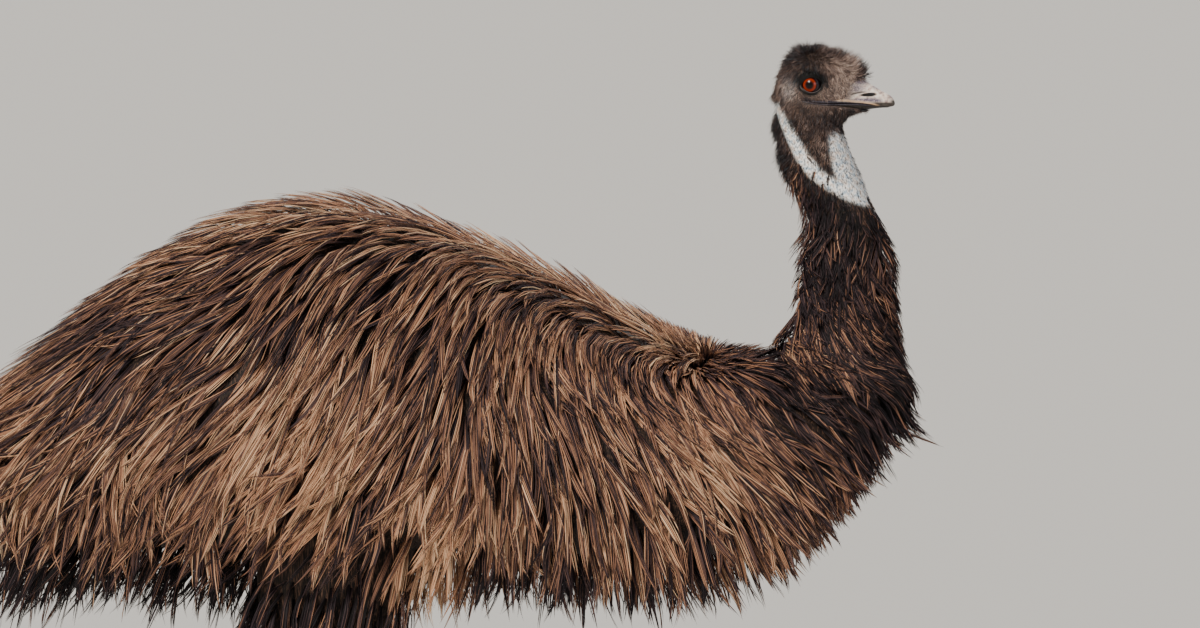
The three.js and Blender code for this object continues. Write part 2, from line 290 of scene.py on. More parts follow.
# %% The rings of the skin
# Upper outline x, z; lower outline x, z; half width; height of the widest level as a share.
SKIN_RINGS = np.array([
    (616.5, 1223.5, 616.0, 1219.8, 1.8, 0.45),  # tip of the bill
    (615.0, 1228.6, 613.5, 1217.6, 4.4, 0.42),
    (610.5, 1232.2, 608, 1216.8, 6.6, 0.38),
    (603, 1236.4, 600, 1216.4, 8.8, 0.33),
    (592, 1242.8, 590, 1215.2, 11.4, 0.32),
    (583, 1248.4, 581, 1213.6, 13.6, 0.34),
    (575, 1254.5, 573, 1211.8, 15.6, 0.38),
    (566, 1262.0, 566, 1209.6, 18.0, 0.43),
    (552, 1272.5, 559, 1206.5, 22.0, 0.50),  # forehead to chin
    (535, 1282.0, 555, 1203.0, 26.5, 0.55),
    (516, 1287.5, 552, 1200.0, 30.0, 0.58),  # crown, through the eye
    (501, 1286.0, 550.5, 1197.5, 31.2, 0.60),
    (488, 1278.0, 550, 1195.5, 31.0, 0.60),
    (478, 1264.0, 549.5, 1193.8, 30.5, 0.60),
    (472.5, 1247.0, 549.2, 1192.0, 30.0, 0.58),  # nape to throat
    (470, 1228.0, 549.5, 1189.5, 30.5, 0.54),
    (469.5, 1209.0, 550.5, 1185.5, 31.5, 0.52),
    (471, 1190.0, 554, 1178.0, 33.0, 0.50),
    (475, 1170.0, 560, 1163.0, 35.0, 0.50),
    (479, 1147.0, 569, 1143.0, 36.5, 0.50),
    (488, 1121.0, 579, 1121.0, 37.0, 0.50),
    (502, 1096.0, 588, 1097.0, 37.5, 0.50),  # below here the plumes grow long
    (511, 1071.0, 600, 1072.0, 38.5, 0.50),
    (513, 1046.0, 604, 1048.0, 41.0, 0.50),
    (508, 1010.0, 604, 1014.0, 45.0, 0.50),
    (502, 975.0, 604, 980.0, 49.0, 0.50),
    (495, 940.0, 606, 942.0, 56.0, 0.48),
    (484, 912.0, 613, 900.0, 70.0, 0.46),
    (465, 897.0, 614, 862.0, 94.0, 0.44),  # foot of the neck to the breast
    (438, 892.0, 602, 826.0, 119.0, 0.43),
    (405, 894.0, 576, 787.0, 145.0, 0.42),
    (368, 901.0, 540, 742.0, 168.0, 0.42),
    (328, 915.0, 495, 700.0, 187.0, 0.41),
    (280, 937.0, 430, 668.0, 202.0, 0.40),
    (225, 966.0, 350, 657.0, 212.0, 0.40),
    (165, 996.0, 255, 658.0, 219.0, 0.40),
    (110, 1020.0, 165, 660.0, 223.0, 0.40),
    (5, 1055.0, 20, 660.0, 226.0, 0.40),
    (-100, 1072.0, -110, 660.0, 226.0, 0.40),  # top of the back to the belly
    (-200, 1056.0, -230, 658.0, 222.0, 0.40),
    (-293, 1014.0, -330, 655.0, 208.0, 0.41),
    (-380, 947.0, -410, 660.0, 182.0, 0.42),
    (-445, 878.0, -465, 672.0, 144.0, 0.44),  # rump
    (-492, 805.0, -500, 690.0, 92.0, 0.46),
    (-512, 752.0, -515, 708.0, 36.0, 0.50),
    (-517, 735.0, -518, 722.0, 10.0, 0.50),
])
HEAD_LAST_RING = 16
NECK_LAST_RING = 27


def ring_positions(table):
    """How far along the bird each ring lies: the mean travel of its two outlines."""
    upper = np.hypot(np.diff(table[:, 0]), np.diff(table[:, 1]))
    lower = np.hypot(np.diff(table[:, 2]), np.diff(table[:, 3]))
    return np.concatenate([[0], np.cumsum(0.6 * upper + 0.4 * lower)])


RING_AT = ring_positions(SKIN_RINGS)
ring_line = [through(RING_AT, SKIN_RINGS[:, i]) for i in range(6)]
HEAD_END, NECK_END = RING_AT[HEAD_LAST_RING], RING_AT[NECK_LAST_RING]
print("skin: head to", round(HEAD_END), "neck to", round(NECK_END), "of", round(RING_AT[-1]), "mm")


def skin_point(along, turn):
    """The place on the smooth skin at a length along the bird and an angle around it, in mm."""
    px, pz, qx, qz, half, share = [line(along) for line in ring_line]
    rise_x, rise_z = px - qx, pz - qz
    c, s = np.cos(turn), np.sin(turn)
    bill = 1 - step_up(along, 20, 60)  # a bill is roof-like above and flat below
    body = step_up(along, HEAD_END, NECK_END + 150)
    above = 2.1 - 0.35 * bill - 0.2 * body
    below = 2.2 + 0.35 * body
    power = np.where(s > 0, above, below)
    across = half * np.sign(c) * np.abs(c) ** (2 / power)
    up = np.abs(s) ** (2 / power)
    level = np.where(s > 0, share + (1 - share) * up, share * (1 - up))
    return np.stack([qx + level * rise_x, across, qz + level * rise_z], axis=-1)


# %% Where horn covers the face
MOUTH_LINE = through([490, 503, 514, 529, 551, 572, 588, 596, 606, 617],
                     [1230, 1227.4, 1225, 1222.8, 1222.8, 1222.4, 1220.9, 1218.9, 1217.9, 1217.9])
HORN_TOP = through([490, 503, 514, 530, 545, 556, 560, 566, 572, 577, 583, 620],
                   [1229, 1227.4, 1227.0, 1226.4, 1227.4, 1230.6, 1241, 1250, 1252.5, 1255.5, 1262, 1262])
HORN_BOTTOM = through([490, 503, 515, 530, 548, 562, 575, 586, 592, 620],
                      [1226, 1225, 1222.2, 1220.6, 1220, 1218, 1215.8, 1213, 1205, 1205])
HORN_SEAT = through([500, 530, 555, 600, 610, 617], [1.0, 1.4, 4.4, 3.6, 2.2, 1.2])  # mm under the horn


def horn_share(points, spare=0.0, soft=0.8):
    """1 where the bill's horn covers the face, 0 on feathered skin; spare widens it, in mm."""
    x, z = points[..., 0], points[..., 2]
    top = 1 - step_up(z - HORN_TOP(x) - spare, -soft, soft)
    bottom = step_up(z - HORN_BOTTOM(x) + spare, -soft, soft)
    return top * bottom * step_up(x + spare, 500, 506)


# %% Shape the head and lay out the skin
EYE = np.array([514.5, 18.6, 1246.0])
EYE_RADIUS = 15.0
SIDES = 128


def walk(end, pace):
    """Lengths from 0 to end, with the step between them given by the pace there."""
    marks = [0.0]
    while marks[-1] < end:
        marks.append(marks[-1] + float(pace(marks[-1])))
    return np.array(marks) * end / marks[-1]


def outward(points):
    """Normals of a grid of points: rows along the bird, columns around it."""
    along = np.gradient(points, axis=0)
    around = (np.roll(points, -1, axis=1) - np.roll(points, 1, axis=1)) / 2
    normal = unit(np.cross(around, along))
    middle = points.mean(axis=1, keepdims=True)
    flip = np.sign(np.sum(normal * (points - middle)))
    return normal * flip


def in_face(points):
    """Distance from the eye and along the face, for a point on either side."""
    return points[..., 0] - EYE[0], points[..., 2] - EYE[2]


def sculpt(points, normal, seated=True):
    """Raises the brow and cheek, and sinks the lore, the orbit, the ear and the mouth."""
    dx, dz = in_face(points)
    side = step_up(np.abs(points[..., 1]), 9, 17) * step_up(points[..., 2], 1196, 1204)
    lift = 2.2 * hill(np.hypot((dx - 2) / 1.9, dz - 15.5 + 0.15 * dx), 6.5)
    lift += 1.6 * hill(np.hypot((dx + 6) / 2.4, dz + 27), 8.5)
    lift -= 2.4 * hill(np.hypot((dx - 32) / 1.5, dz + 6), 10)
    lift -= 1.7 * hill(np.hypot(dx + 27, dz + 5), 5) - 0.9 * hill(np.hypot(dx + 27, dz + 5) - 8, 3)
    lift *= side
    if seated:
        lift -= HORN_SEAT(points[..., 0]) * horn_share(points, 0.7, 1.2)
    away = np.hypot(dx, dz * 1.08)
    orbit = (1 - step_up(away, 12.5, 16.5)) * (np.abs(points[..., 1]) > 8)
    sunk = points + normal * lift[..., None]
    if seated:
        sunk[..., 0] -= 0.09 * np.maximum(points[..., 0] - 570, 0)
    sunk[..., 1] -= np.sign(points[..., 1]) * orbit * np.maximum(np.abs(sunk[..., 1]) - 20, 0)
    return sunk


def pace(at):
    return np.interp(at, [0, 40, HEAD_END, HEAD_END + 60, NECK_END, NECK_END + 200, 2000],
                     [0.9, 1.2, 1.3, 2.2, 4.0, 9.0, 10.0])


rows = walk(RING_AT[-1], pace)
turns = turns_of(SIDES)
plain_skin = skin_point(rows[:, None], turns[None, :])
skin_normal = outward(plain_skin)
print("skin grid:", plain_skin.shape[:2])

# %% [markdown]
# ## Legs and feet
# An emu walks on three toes. The long bone above them is the tarsus, its joint with the shank
# looks like a knee that bends backwards, and the thigh is hidden in plumes. Each leg is one
# loft of level rings, each toe another, and a boolean union joins them all to the trunk, so
# that the skin stays a single closed surface. Points that would reach below the floor are
# pressed flat against it, as a soft sole is.

# %% Legs and toes
FOOT_Y = 108.0
STRIDE, SET_BACK = 46.0, -36.0
FLESH_X = through([0, 58, 90, 300, 352, 392, 430, 452, 520, 600, 720],
                  [-33, -39, -43, -67, -75, -81, -75, -69, -80, -76, -56])
FLESH_DEPTH = through([0, 12, 30, 48, 62, 90, 160, 300, 345, 388, 415, 452, 480, 520, 600, 720],
                      [29, 33.5, 32, 25, 21.5, 18.6, 17.2, 19.2, 24, 31.5, 28, 24, 34, 52, 88, 106])
FLESH_WIDTH = through([0, 12, 30, 48, 62, 90, 160, 300, 345, 388, 415, 452, 480, 520, 600, 720],
                      [29, 33.5, 32, 26, 22, 17.2, 14.8, 16.2, 21, 26, 22.2, 20, 27, 38, 56, 64])
ANKLE_X, TOE_START, TOE_HIDDEN = -33, 12, 22
TOES = [
    # name, degrees it turns in, its length and its claw's in mm, girth in mm
    ("inner", 33, 66, 24, 12.0),
    ("middle", 0, 104, 29, 14.5),
    ("outer", -31, 76, 24, 12.5),
]


def stand_at(side, z):
    """The foot's step forward or back, fading out towards the hip."""
    return -side * STRIDE * np.clip((700 - z) / 260, 0, 1) + SET_BACK * np.clip((700 - z) / 200, 0, 1)


def loft_quads(rings):
    """Faces between neighbouring rings of points, and whether they wind inwards."""
    count, sides, _ = rings.shape
    at = np.arange(count * sides).reshape(count, sides)
    here, there = at[:-1], at[1:]
    quads = np.stack([here, np.roll(here, -1, 1), np.roll(there, -1, 1), there], -1).reshape(-1, 4)
    corners = rings.reshape(-1, 3)[quads[:, :3]]
    face = np.cross(corners[:, 1] - corners[:, 0], corners[:, 2] - corners[:, 0])
    centre = rings.mean(1)[np.repeat(np.arange(count - 1), sides)]
    return quads, np.sum(face * (corners[:, 0] - centre)) < 0


def closed_loft(rings, name):
    """A closed mesh through rings of points, with its ends fanned to their middles."""
    count, sides, _ = rings.shape
    points = np.concatenate([rings.reshape(-1, 3), rings[0].mean(0)[None], rings[-1].mean(0)[None]])
    at = np.arange(count * sides).reshape(count, sides)
    quads, inwards = loft_quads(rings)
    first = np.stack([np.full(sides, count * sides), np.roll(at[0], -1), at[0]], -1)
    last = np.stack([np.full(sides, count * sides + 1), at[-1], np.roll(at[-1], -1)], -1)
    if inwards:
        quads, first, last = quads[:, ::-1], first[:, ::-1], last[:, ::-1]
    return mesh_object(name, points * MM, [quads, np.concatenate([first, last])])


def bulged(angle, power):
    """Cosine and sine of a circle that a power above 2 bulges towards a square."""
    c, s = np.cos(angle), np.sin(angle)
    return np.sign(c) * np.abs(c) ** (2 / power), np.sign(s) * np.abs(s) ** (2 / power)


def leg_rings(side):
    """Level rings from the sole up into the trunk, close together where scales will show."""
    heights = np.concatenate([np.arange(0, 470, 3.2), np.arange(470, 721, 10.0)])[:, None]
    angle = turns_of(52)[None, :]
    c, s = bulged(angle, 2.0)
    swell = 1 + 0.05 * hill(heights - 388, 16) * np.cos(angle * 2)
    x = FLESH_X(heights) + stand_at(side, heights) + FLESH_DEPTH(heights) * c * swell
    y = side * FOOT_Y + side * 8 * step_up(heights, 452, 600) + FLESH_WIDTH(heights) * s
    return np.stack([x, y, np.broadcast_to(heights, x.shape)], -1)


def toe_rings(side, turn, length, girth):
    """Rings along one toe: pads that bulge below each joint, a flat sole and a ridged top."""
    t = np.linspace(0, 1, int(length * 0.60) + 10)[:, None]
    angle = turns_of(34)[None, :]
    c, s = bulged(angle, 2.2)
    end = np.sqrt(np.clip(1 - np.clip((t - 0.86) / 0.14, 0, 1) ** 2, 0.02, 1))
    joint = np.cos(2 * math.pi * 3 * t)
    size = girth * (1.12 - 0.42 * t) * (0.55 + 0.45 * end)
    wide = size * (1 + 0.06 * joint) * 0.98
    ridge = 0.35 * np.abs(np.sin(t * (length + TOE_HIDDEN) / 4.6 * math.pi)) * step_up(s, 0.3, 0.8)
    tall = size * (1 + 0.09 * joint * np.where(s < 0, 1, 0.5)) * 0.97 + ridge
    along = TOE_START + t * (TOE_HIDDEN + length)
    heading = math.radians(-side * turn)
    ahead = np.array([math.cos(heading), math.sin(heading)])
    beside = np.array([-ahead[1], ahead[0]])
    foot_x = ANKLE_X + stand_at(side, 0)
    x = foot_x + ahead[0] * along + beside[0] * wide * c
    y = side * FOOT_Y + ahead[1] * along + beside[1] * wide * c
    z = np.maximum(0.82 * size + tall * s, 0)
    return np.stack([x, y, z], -1)


# %% Join the skin
def join_solids(name, first, others):
    """The union of closed meshes as one new mesh object."""
    group = bpy.data.collections.new(name + "_parts")
    bpy.context.scene.collection.children.link(group)
    for other in others:
        bpy.context.collection.objects.unlink(other)
        group.objects.link(other)
    union = first.modifiers.new("union", "BOOLEAN")
    union.operation, union.operand_type, union.collection = "UNION", "COLLECTION", group
    union.solver = "MANIFOLD"
    evaluated = first.evaluated_get(bpy.context.evaluated_depsgraph_get())
    mesh = bpy.data.meshes.new_from_object(evaluated)
    mesh.name = name
    for old in [first, *others]:
        bpy.data.objects.remove(old)
    bpy.data.collections.remove(group)
    return add_object(name, mesh)


sculpted = sculpt(plain_skin, skin_normal)
body = closed_loft(sculpted, "trunk_loft")
limbs = [closed_loft(leg_rings(side), f"leg_{side}") for side in (1, -1)]
limbs += [
    closed_loft(toe_rings(side, turn, length, girth), f"toe_{name}_{side}")
    for side in (1, -1)
    for name, turn, length, claw, girth in TOES
]
skin = join_solids("skin", body, limbs)
print("skin:", len(skin.data.vertices), "points", len(skin.data.polygons), "faces")

# %% [markdown]
# ## Lids
# The lids are a low dome of wrinkled black skin around a nearly round opening. Each pair is
# made as a ring with a closed section: its outer face rises from the face to the rim and its
# inner face follows the eyeball, a hair's breadth off it. The ring is joined to the skin, so
# that the opening is a real hole and the eye sits behind it.

# %% Close the eye with lids
LID_REACH = 19.4
RIM_RISE = 1.1


def opening(turn):
    """Distance in mm from the eye's middle to the rim of the lids, at each turn around it."""
    turn = np.mod(turn, 2 * math.pi)
    round_part = 11.4 * 9.0 / np.hypot(9.0 * np.cos(turn), 11.4 * np.sin(turn))
    corners = hill(turn - 0.2, 0.3) + hill(turn - math.pi - 0.15, 0.3)
    return round_part + 0.9 * corners + 1.1 * np.cos(turn)


def ball_height(r, extra):
    """How far the eyeball, grown by some mm, stands out at a distance from its middle."""
    return EYE[1] + np.sqrt(np.maximum((EYE_RADIUS + extra) ** 2 - r**2, 0))


def face_height(x, z, side):
    """How far the skin lies from the middle plane, at places seen from the side."""
    height = np.empty(x.shape)
    for index in np.ndindex(x.shape):
        start = Vector((x[index], side * 70, z[index]))
        hit = face_tree.ray_cast(start, Vector((0, -side, 0)))
        height[index] = abs(hit[0].y)
    return height


def lid_ring(side):
    """Sections of both lids: over the outer face, under the skin, and back along the eyeball."""
    turn = turns_of(112)[:, None]
    rim = opening(turn)
    out = np.linspace(0, 1, 20)[None, :]
    r = rim + (LID_REACH - rim) * out
    edge = face_height(EYE[0] + LID_REACH * np.cos(turn), EYE[2] + LID_REACH * np.sin(turn), side)
    top = ball_height(rim, RIM_RISE)
    blend = 0.45 * out + 0.55 * step_up(out, 0, 1)
    height = top + (edge - 0.25 - top) * blend
    fade = step_up(out, 0.05, 0.2) * (1 - step_up(out, 0.5, 0.95))
    fold = np.sin((r - rim) * 2 * math.pi / 2.3 + 0.9 * np.sin(3 * turn)) * 0.32
    upper = 0.5 + 0.5 * np.sin(turn)
    height = height + 0.8 * fold * fade + 0.5 * upper * hill(out - 0.32, 0.16)
    under_r = np.array([20.2, 19.8, 16.0, 13.8])[None, :] + 0 * turn
    under = np.concatenate([edge - 2.2, edge - 4.5, edge - 6.0, ball_height(under_r[:, 3:], 0.35)], 1)
    inner_r = rim + (13.8 - rim) * np.linspace(0.72, 0, 5)[None, :]
    inner = ball_height(inner_r, 0.3)
    radii = np.concatenate([r, under_r, inner_r], 1)
    heights = np.concatenate([height, under, inner], 1)
    return np.stack([
        EYE[0] + radii * np.cos(turn), side * heights, EYE[2] + radii * np.sin(turn)
    ], -1)


def closed_ring(rings, name):
    """A closed mesh around a loop of sections, each a loop of points itself."""
    count, sides, _ = rings.shape
    at = np.arange(count * sides).reshape(count, sides)
    ahead = np.roll(at, -1, 0)
    quads = np.stack([at, np.roll(at, -1, 1), np.roll(ahead, -1, 1), ahead], -1).reshape(-1, 4)
    points = rings.reshape(-1, 3)
    corners = points[quads]
    face = np.cross(corners[:, 2] - corners[:, 0], corners[:, 3] - corners[:, 1])
    if np.sum(face * corners.mean(1)) < 0:
        quads = quads[:, ::-1]
    return mesh_object(name, points * MM, [quads])


face = sculpt(plain_skin, skin_normal, False)[:np.searchsorted(rows, HEAD_END)]
face_tree = BVHTree.FromPolygons(face.reshape(-1, 3).tolist(), loft_quads(face)[0].tolist())
lids = [closed_ring(lid_ring(side), f"lids_{side}") for side in (1, -1)]
skin = join_solids("skin", skin, lids)
print("skin with lids:", len(skin.data.vertices), "points", len(skin.data.polygons), "faces")

# %% [markdown]
# ## Eyes
# Each eyeball is 30 mm across, as in a living emu, and most of it is hidden in the head. The
# cornea bulges a little over the iris. The map on it is polar, so the iris's spokes and rings
# are drawn by angle and radius.

# %% Eyeballs
GAZE = math.radians(5)  # the eyes look out and a little back
CORNEA_RISE, CORNEA_ANGLE = 0.75, 0.62  # mm, and radians from its middle


def eyeball(side):
    polar = np.linspace(0, math.pi, 65)[1:-1, None]
    turn = turns_of(96)[None, :]
    radius = EYE_RADIUS + CORNEA_RISE * np.clip(1 - (polar / CORNEA_ANGLE) ** 2, 0, 1)
    ahead, out = radius * np.sin(polar) * np.cos(turn), radius * np.cos(polar)
    ring = np.stack([
        EYE[0] + ahead * math.cos(GAZE) - out * math.sin(GAZE),
        side * (EYE[1] + out * math.cos(GAZE) + ahead * math.sin(GAZE)),
        EYE[2] + radius * np.sin(polar) * np.sin(turn),
    ], -1)
    return closed_loft(ring, f"eyeball_{side}")


def joined(name, objects):
    """Puts the meshes of several objects into one, with all their maps."""
    bpy.ops.object.select_all(action="DESELECT")
    for made in objects:
        made.select_set(True)
    bpy.context.view_layer.objects.active = objects[0]
    bpy.ops.object.join()
    objects[0].name = objects[0].data.name = name
    return objects[0]


def corner_map(made, name, values):
    """A UV map from one pair of numbers for each point of the mesh."""
    mesh = made.data
    corner = np.empty(len(mesh.loops), dtype=np.int32)
    mesh.loops.foreach_get("vertex_index", corner)
    layer = mesh.uv_layers.new(name=name)
    layer.data.foreach_set("uv", np.asarray(values, np.float32)[corner].ravel())


def places_of(made):
    """The mesh's points in mm."""
    spots = np.empty(len(made.data.vertices) * 3, dtype=np.float32)
    made.data.vertices.foreach_get("co", spots)
    return spots.reshape(-1, 3).astype(float) / MM


balls = []
for side in (1, -1):
    ball = eyeball(side)
    spot = places_of(ball) - EYE * [1, side, 1]
    corner_map(ball, "OFBake", 0.5 + spot[:, [0, 2]] / 62 * [0.5, 0.95] + [0.25 * side, 0])
    balls.append(ball)
eyes = joined("eyes", balls)
print("eyes:", len(eyes.data.polygons), "faces")

# %% [markdown]
# ## The bill
# An emu's bill is a flat triangle with a keel along the top, a long nostril under a small lid
# of horn, and a nail that bends over the tip. The plates of both halves are measured from the
# skin: rays go out from a line inside the mouth, and the horn follows where they meet the face.
# Where feathers begin the plate dips under the skin, so the border is a true edge.

# %% Plates of horn
def smoothed(values, times):
    """Evens out a grid of numbers with its neighbours, along and across."""
    for _ in range(times):
        middle = (values[:-2] + 2 * values[1:-1] + values[2:]) / 4
        values = np.concatenate([values[:1], middle, values[-1:]])
        middle = (values[:, :-2] + 2 * values[:, 1:-1] + values[:, 2:]) / 4
        values = np.concatenate([values[:, :1], middle, values[:, -1:]], 1)
    return values


def nostril(x, z):
    """0 in the middle of the slit, 1 on its edge; it is tallest in front."""
    ahead = (x - 584) / 10
    return np.hypot(ahead, (z - 1233.3 - 0.4 * ahead) / (2.5 + 0.7 * ahead))


FOLD_Z = through([563, 569, 575, 583, 590], [1233.6, 1235.2, 1236.3, 1237.0, 1237.2])


def bill_relief(x, z):
    """Keel, grooves, nostril and nail of the upper plate in mm, as seen from the side."""
    flap = hill(np.hypot((x - 576) / 6, (z - 1234.4) / 1.4), 1.0)
    fold = hill(z - FOLD_Z(x), 1.2) * step_up(x, 561, 566) * (1 - step_up(x, 578, 586))
    relief = -2.6 * (1 - step_up(nostril(x, z), 0.35, 1.0)) + 0.8 * flap - 1.1 * fold
    relief += 0.35 * hill(nostril(x, z) - 1.25, 0.22) * step_up(1233 - z, -1, 1)
    groove_z = through([553, 566, 580, 592, 602], [1240, 1241.5, 1240.5, 1236.0, 1231.5])(x)
    relief -= 0.75 * hill((z - groove_z) / 1.9, 1.0) * step_up(x, 553, 562) * (1 - step_up(x, 592, 602))
    relief += 0.5 * hill((z - 1227.2) / 2.0, 1.0) * step_up(x, 540, 556) * (1 - step_up(x, 596, 606))
    return relief


def horn_plate(name, above):
    """One half of the bill: rings across it, from under the face's skin to its rounded tip."""
    end, blunt = (616.0, 6.5) if above else (609.5, 5.0)
    even = np.linspace(500.0, end - blunt, 600)
    room = np.cumsum(1 + 0.9 * step_up(even, 560, 574) * (1 - step_up(even, 592, 606)))
    x = np.interp(np.linspace(room[0], room[-1], 160), room, even)
    x = np.concatenate([x, end - blunt + blunt * np.sin(np.linspace(0.08, 1.5, 15))])[:, None]
    even = np.linspace(1.5, 178.5, 400)
    room = np.cumsum(1 + (2.4 if above else 0) * (hill(even - 40, 14) + hill(even - 140, 14)))
    angle = np.interp(np.linspace(room[0], room[-1], 113 if above else 75), room, even)
    angle = np.radians(angle)[None, :] * (1 if above else -1)
    mouth = MOUTH_LINE(x) + (0.15 if above else -0.15)
    reach = np.empty((len(x), angle.size))
    for i, j in np.ndindex(reach.shape):
        way = Vector((0, math.cos(angle[0, j]), math.sin(angle[0, j])))
        hit = face_tree.ray_cast(Vector((min(x[i, 0], 614.0), 0, mouth[i, 0])), way)
        reach[i, j] = hit[3] if hit[0] is not None else 0.5
    reach = smoothed(reach, 9)
    y, z = reach * np.cos(angle), mouth + reach * np.sin(angle)
    grid_x = x + 0 * y
    share = horn_share(np.stack([grid_x, y, z], -1), 0.0, 0.5)
    lift = -2.6 + 2.35 * share
    if above:
        lift = lift + share * bill_relief(grid_x, z)
    reach = reach + lift
    outer = np.stack([grid_x, reach * np.cos(angle), mouth + reach * np.sin(angle)], -1)
    part = np.linspace(0, 1, 18)[None, 1:-1]
    first, last = outer[:, :1], outer[:, -1:]
    roof = last + (first - last) * part[..., None]
    roof[..., 2] += (1.0 if above else 0.4) * np.sin(math.pi * part) * (1 - step_up(x, 604, end))
    rings = np.concatenate([outer, roof], 1)
    back = np.clip((x - (end - blunt)) / blunt, 0, 1)[..., None]
    shrink = np.sqrt(np.maximum(1 - 0.985 * back**2.4, 0.001))
    high = reach[:, reach.shape[1] // 2][:, None]
    heart = np.stack([x, 0 * x, mouth + (0.30 if above else -0.3) * high], -1)
    rings = heart + (rings - heart) * np.concatenate([np.ones_like(shrink), shrink, shrink], -1)
    return closed_loft(rings, name)


upper_horn = horn_plate("upper_horn", True)
lower_horn = horn_plate("lower_horn", False)
for made, low in ((upper_horn, 0.0), (lower_horn, 0.5)):
    spot = places_of(made)
    around = np.arctan2(spot[:, 2] - MOUTH_LINE(spot[:, 0]), spot[:, 1]) / math.pi
    corner_map(made, "OFBake", np.stack([
        (spot[:, 0] - 498) / 122, low + 0.02 + 0.46 * np.clip(np.abs(around), 0, 1)
    ], -1))
bill = joined("bill", [upper_horn, lower_horn])
print("bill:", len(bill.data.polygons), "faces")

# %% [markdown]
# ## How the coat lies
# An emu's feather has two equal shafts and loose barbs that don't hook together, so the coat
# hangs like coarse hair, in narrow locks that part along the back. Their lie is a field of
# directions over the flank: swept back on the rump, straight down at the middle, and forward on
# the breast. Each guide below gives a place and an angle from straight down, towards the tail.

# %% The lie of the plumes
LIE_GUIDES = np.array([
    # x, z in mm; degrees from straight down, towards the tail
    (-490, 720, 34), (-420, 960, 47), (-365, 1005, 49), (-300, 1050, 54), (-240, 1050, 52),
    (-110, 1075, 50), (-50, 1060, 50), (10, 1045, 52), (-180, 1090, 60), (-430, 830, 41),
    (-300, 830, 36), (-180, 830, 46), (-110, 830, 46), (-50, 1010, 31), (10, 1010, 30),
    (-50, 960, 14), (20, 965, 20), (80, 965, 6), (145, 1000, 20), (145, 965, -2),
    (205, 965, -10), (270, 960, -44), (330, 930, -50), (-50, 920, 8), (20, 920, 27),
    (80, 920, 16), (145, 920, -7), (205, 920, -22), (270, 920, -37), (330, 910, -44),
    (390, 900, -47), (-50, 880, 25), (20, 880, 37), (80, 880, 30), (145, 875, -7),
    (205, 875, -24), (270, 875, -38), (330, 875, -40), (390, 875, -44), (455, 875, -48),
    (520, 875, -47), (580, 875, -44), (145, 830, 7), (205, 830, -20), (270, 830, -28),
    (330, 830, -38), (455, 830, -48), (520, 830, -49), (580, 830, -46), (80, 750, 30),
    (145, 750, 12), (205, 750, -5), (270, 750, -4), (330, 750, -20), (455, 750, -37),
    (520, 750, -37), (-490, 650, 34), (-300, 660, 25), (-170, 660, 40), (-50, 660, 32),
    (20, 660, 33), (80, 660, 30), (205, 660, 4), (270, 655, -11), (390, 660, -24),
    (-300, 590, 22), (-110, 600, 38), (20, 600, 20), (145, 600, 16), (270, 600, -6),
    (520, 1000, 6), (585, 1000, -34), (530, 1060, 8), (600, 1055, -26), (500, 940, 4),
    (590, 930, -36), (540, 1100, 0), (585, 1110, -20),
])
GUIDE_REACH = 52.0
PARTING_X = 390.0  # in front of this the ridge lies forwards, behind it backwards
RIDGE_SHARE = 0.42


def lie_angle(points):
    """Degrees from straight down towards the tail, from the guides near each point (mm)."""
    gap = points[:, None, [0, 2]] - LIE_GUIDES[None, :, :2]
    weight = np.exp(-(gap**2).sum(-1) / (2 * GUIDE_REACH**2)) + 1e-12
    return (weight * LIE_GUIDES[:, 2]).sum(1) / weight.sum(1)


def lie_direction(points, normals, angle_offset=0.0):
    """The way a plume points: along the skin, and at the guides' angle when seen from the side.

    On the ridge of the back, where the two sides part, it follows the ridge instead."""
    angle = np.radians(lie_angle(points) + angle_offset)
    flat = np.stack([-np.sin(angle), np.zeros(len(points)), -np.cos(angle)], -1)
    side = np.where(normals[:, 1] >= 0, 1.0, -1.0)
    slide = -(flat * normals).sum(1) / np.maximum(np.abs(normals[:, 1]), 0.12)
    flat[:, 1] = side * np.clip(slide, -0.6, 1.3)
    ridge = hill(normals[:, 1], RIDGE_SHARE) * step_up(normals[:, 2], 0.3, 0.7)
    lean = np.radians(angle_offset) * 1.2
    spine = np.tanh((points[:, 0] - PARTING_X) / 60)
    flat[:, 0] += ridge * (spine * 1.6 - flat[:, 0])
    flat[:, 1] += ridge * (side * 0.3 + lean - flat[:, 1])
    return unit(flattened(flat, normals), 1e-6)


def nearest_on(tree, points):
    """The nearest places on a search tree, with the normals and the faces there."""
    places, normals = np.empty_like(points), np.empty_like(points)
    faces = np.empty(len(points), int)
    for i, point in enumerate(points):
        places[i], normals[i], faces[i], _ = tree.find_nearest(Vector(point))
    return places, normals, faces


def skin_near(points):
    """For each point in mm: the nearest place on the skin, the normal and the depth of coat there."""
    places, normals, faces = nearest_on(skin_tree, points)
    return places, normals, coat_depth[np.minimum(faces, len(coat_depth) - 1)]


def tree_of(grid):
    """A search tree over the faces of a tube of points, normals outwards."""
    quads, inwards = loft_quads(grid)
    if inwards:
        quads = quads[:, ::-1]
    return BVHTree.FromPolygons(grid.reshape(-1, 3).tolist(), quads.tolist())


def outline_tree(names):
    """A search tree over some of the solids, whose outline is the coat's own."""
    points, faces = [], []
    for solid in [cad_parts[name] for name in names]:
        start = len(points)
        points += [solid.matrix_world @ v.co / MM for v in solid.data.vertices]
        faces += [[start + i for i in face.vertices] for face in solid.data.polygons]
    return BVHTree.FromPolygons(points, faces)


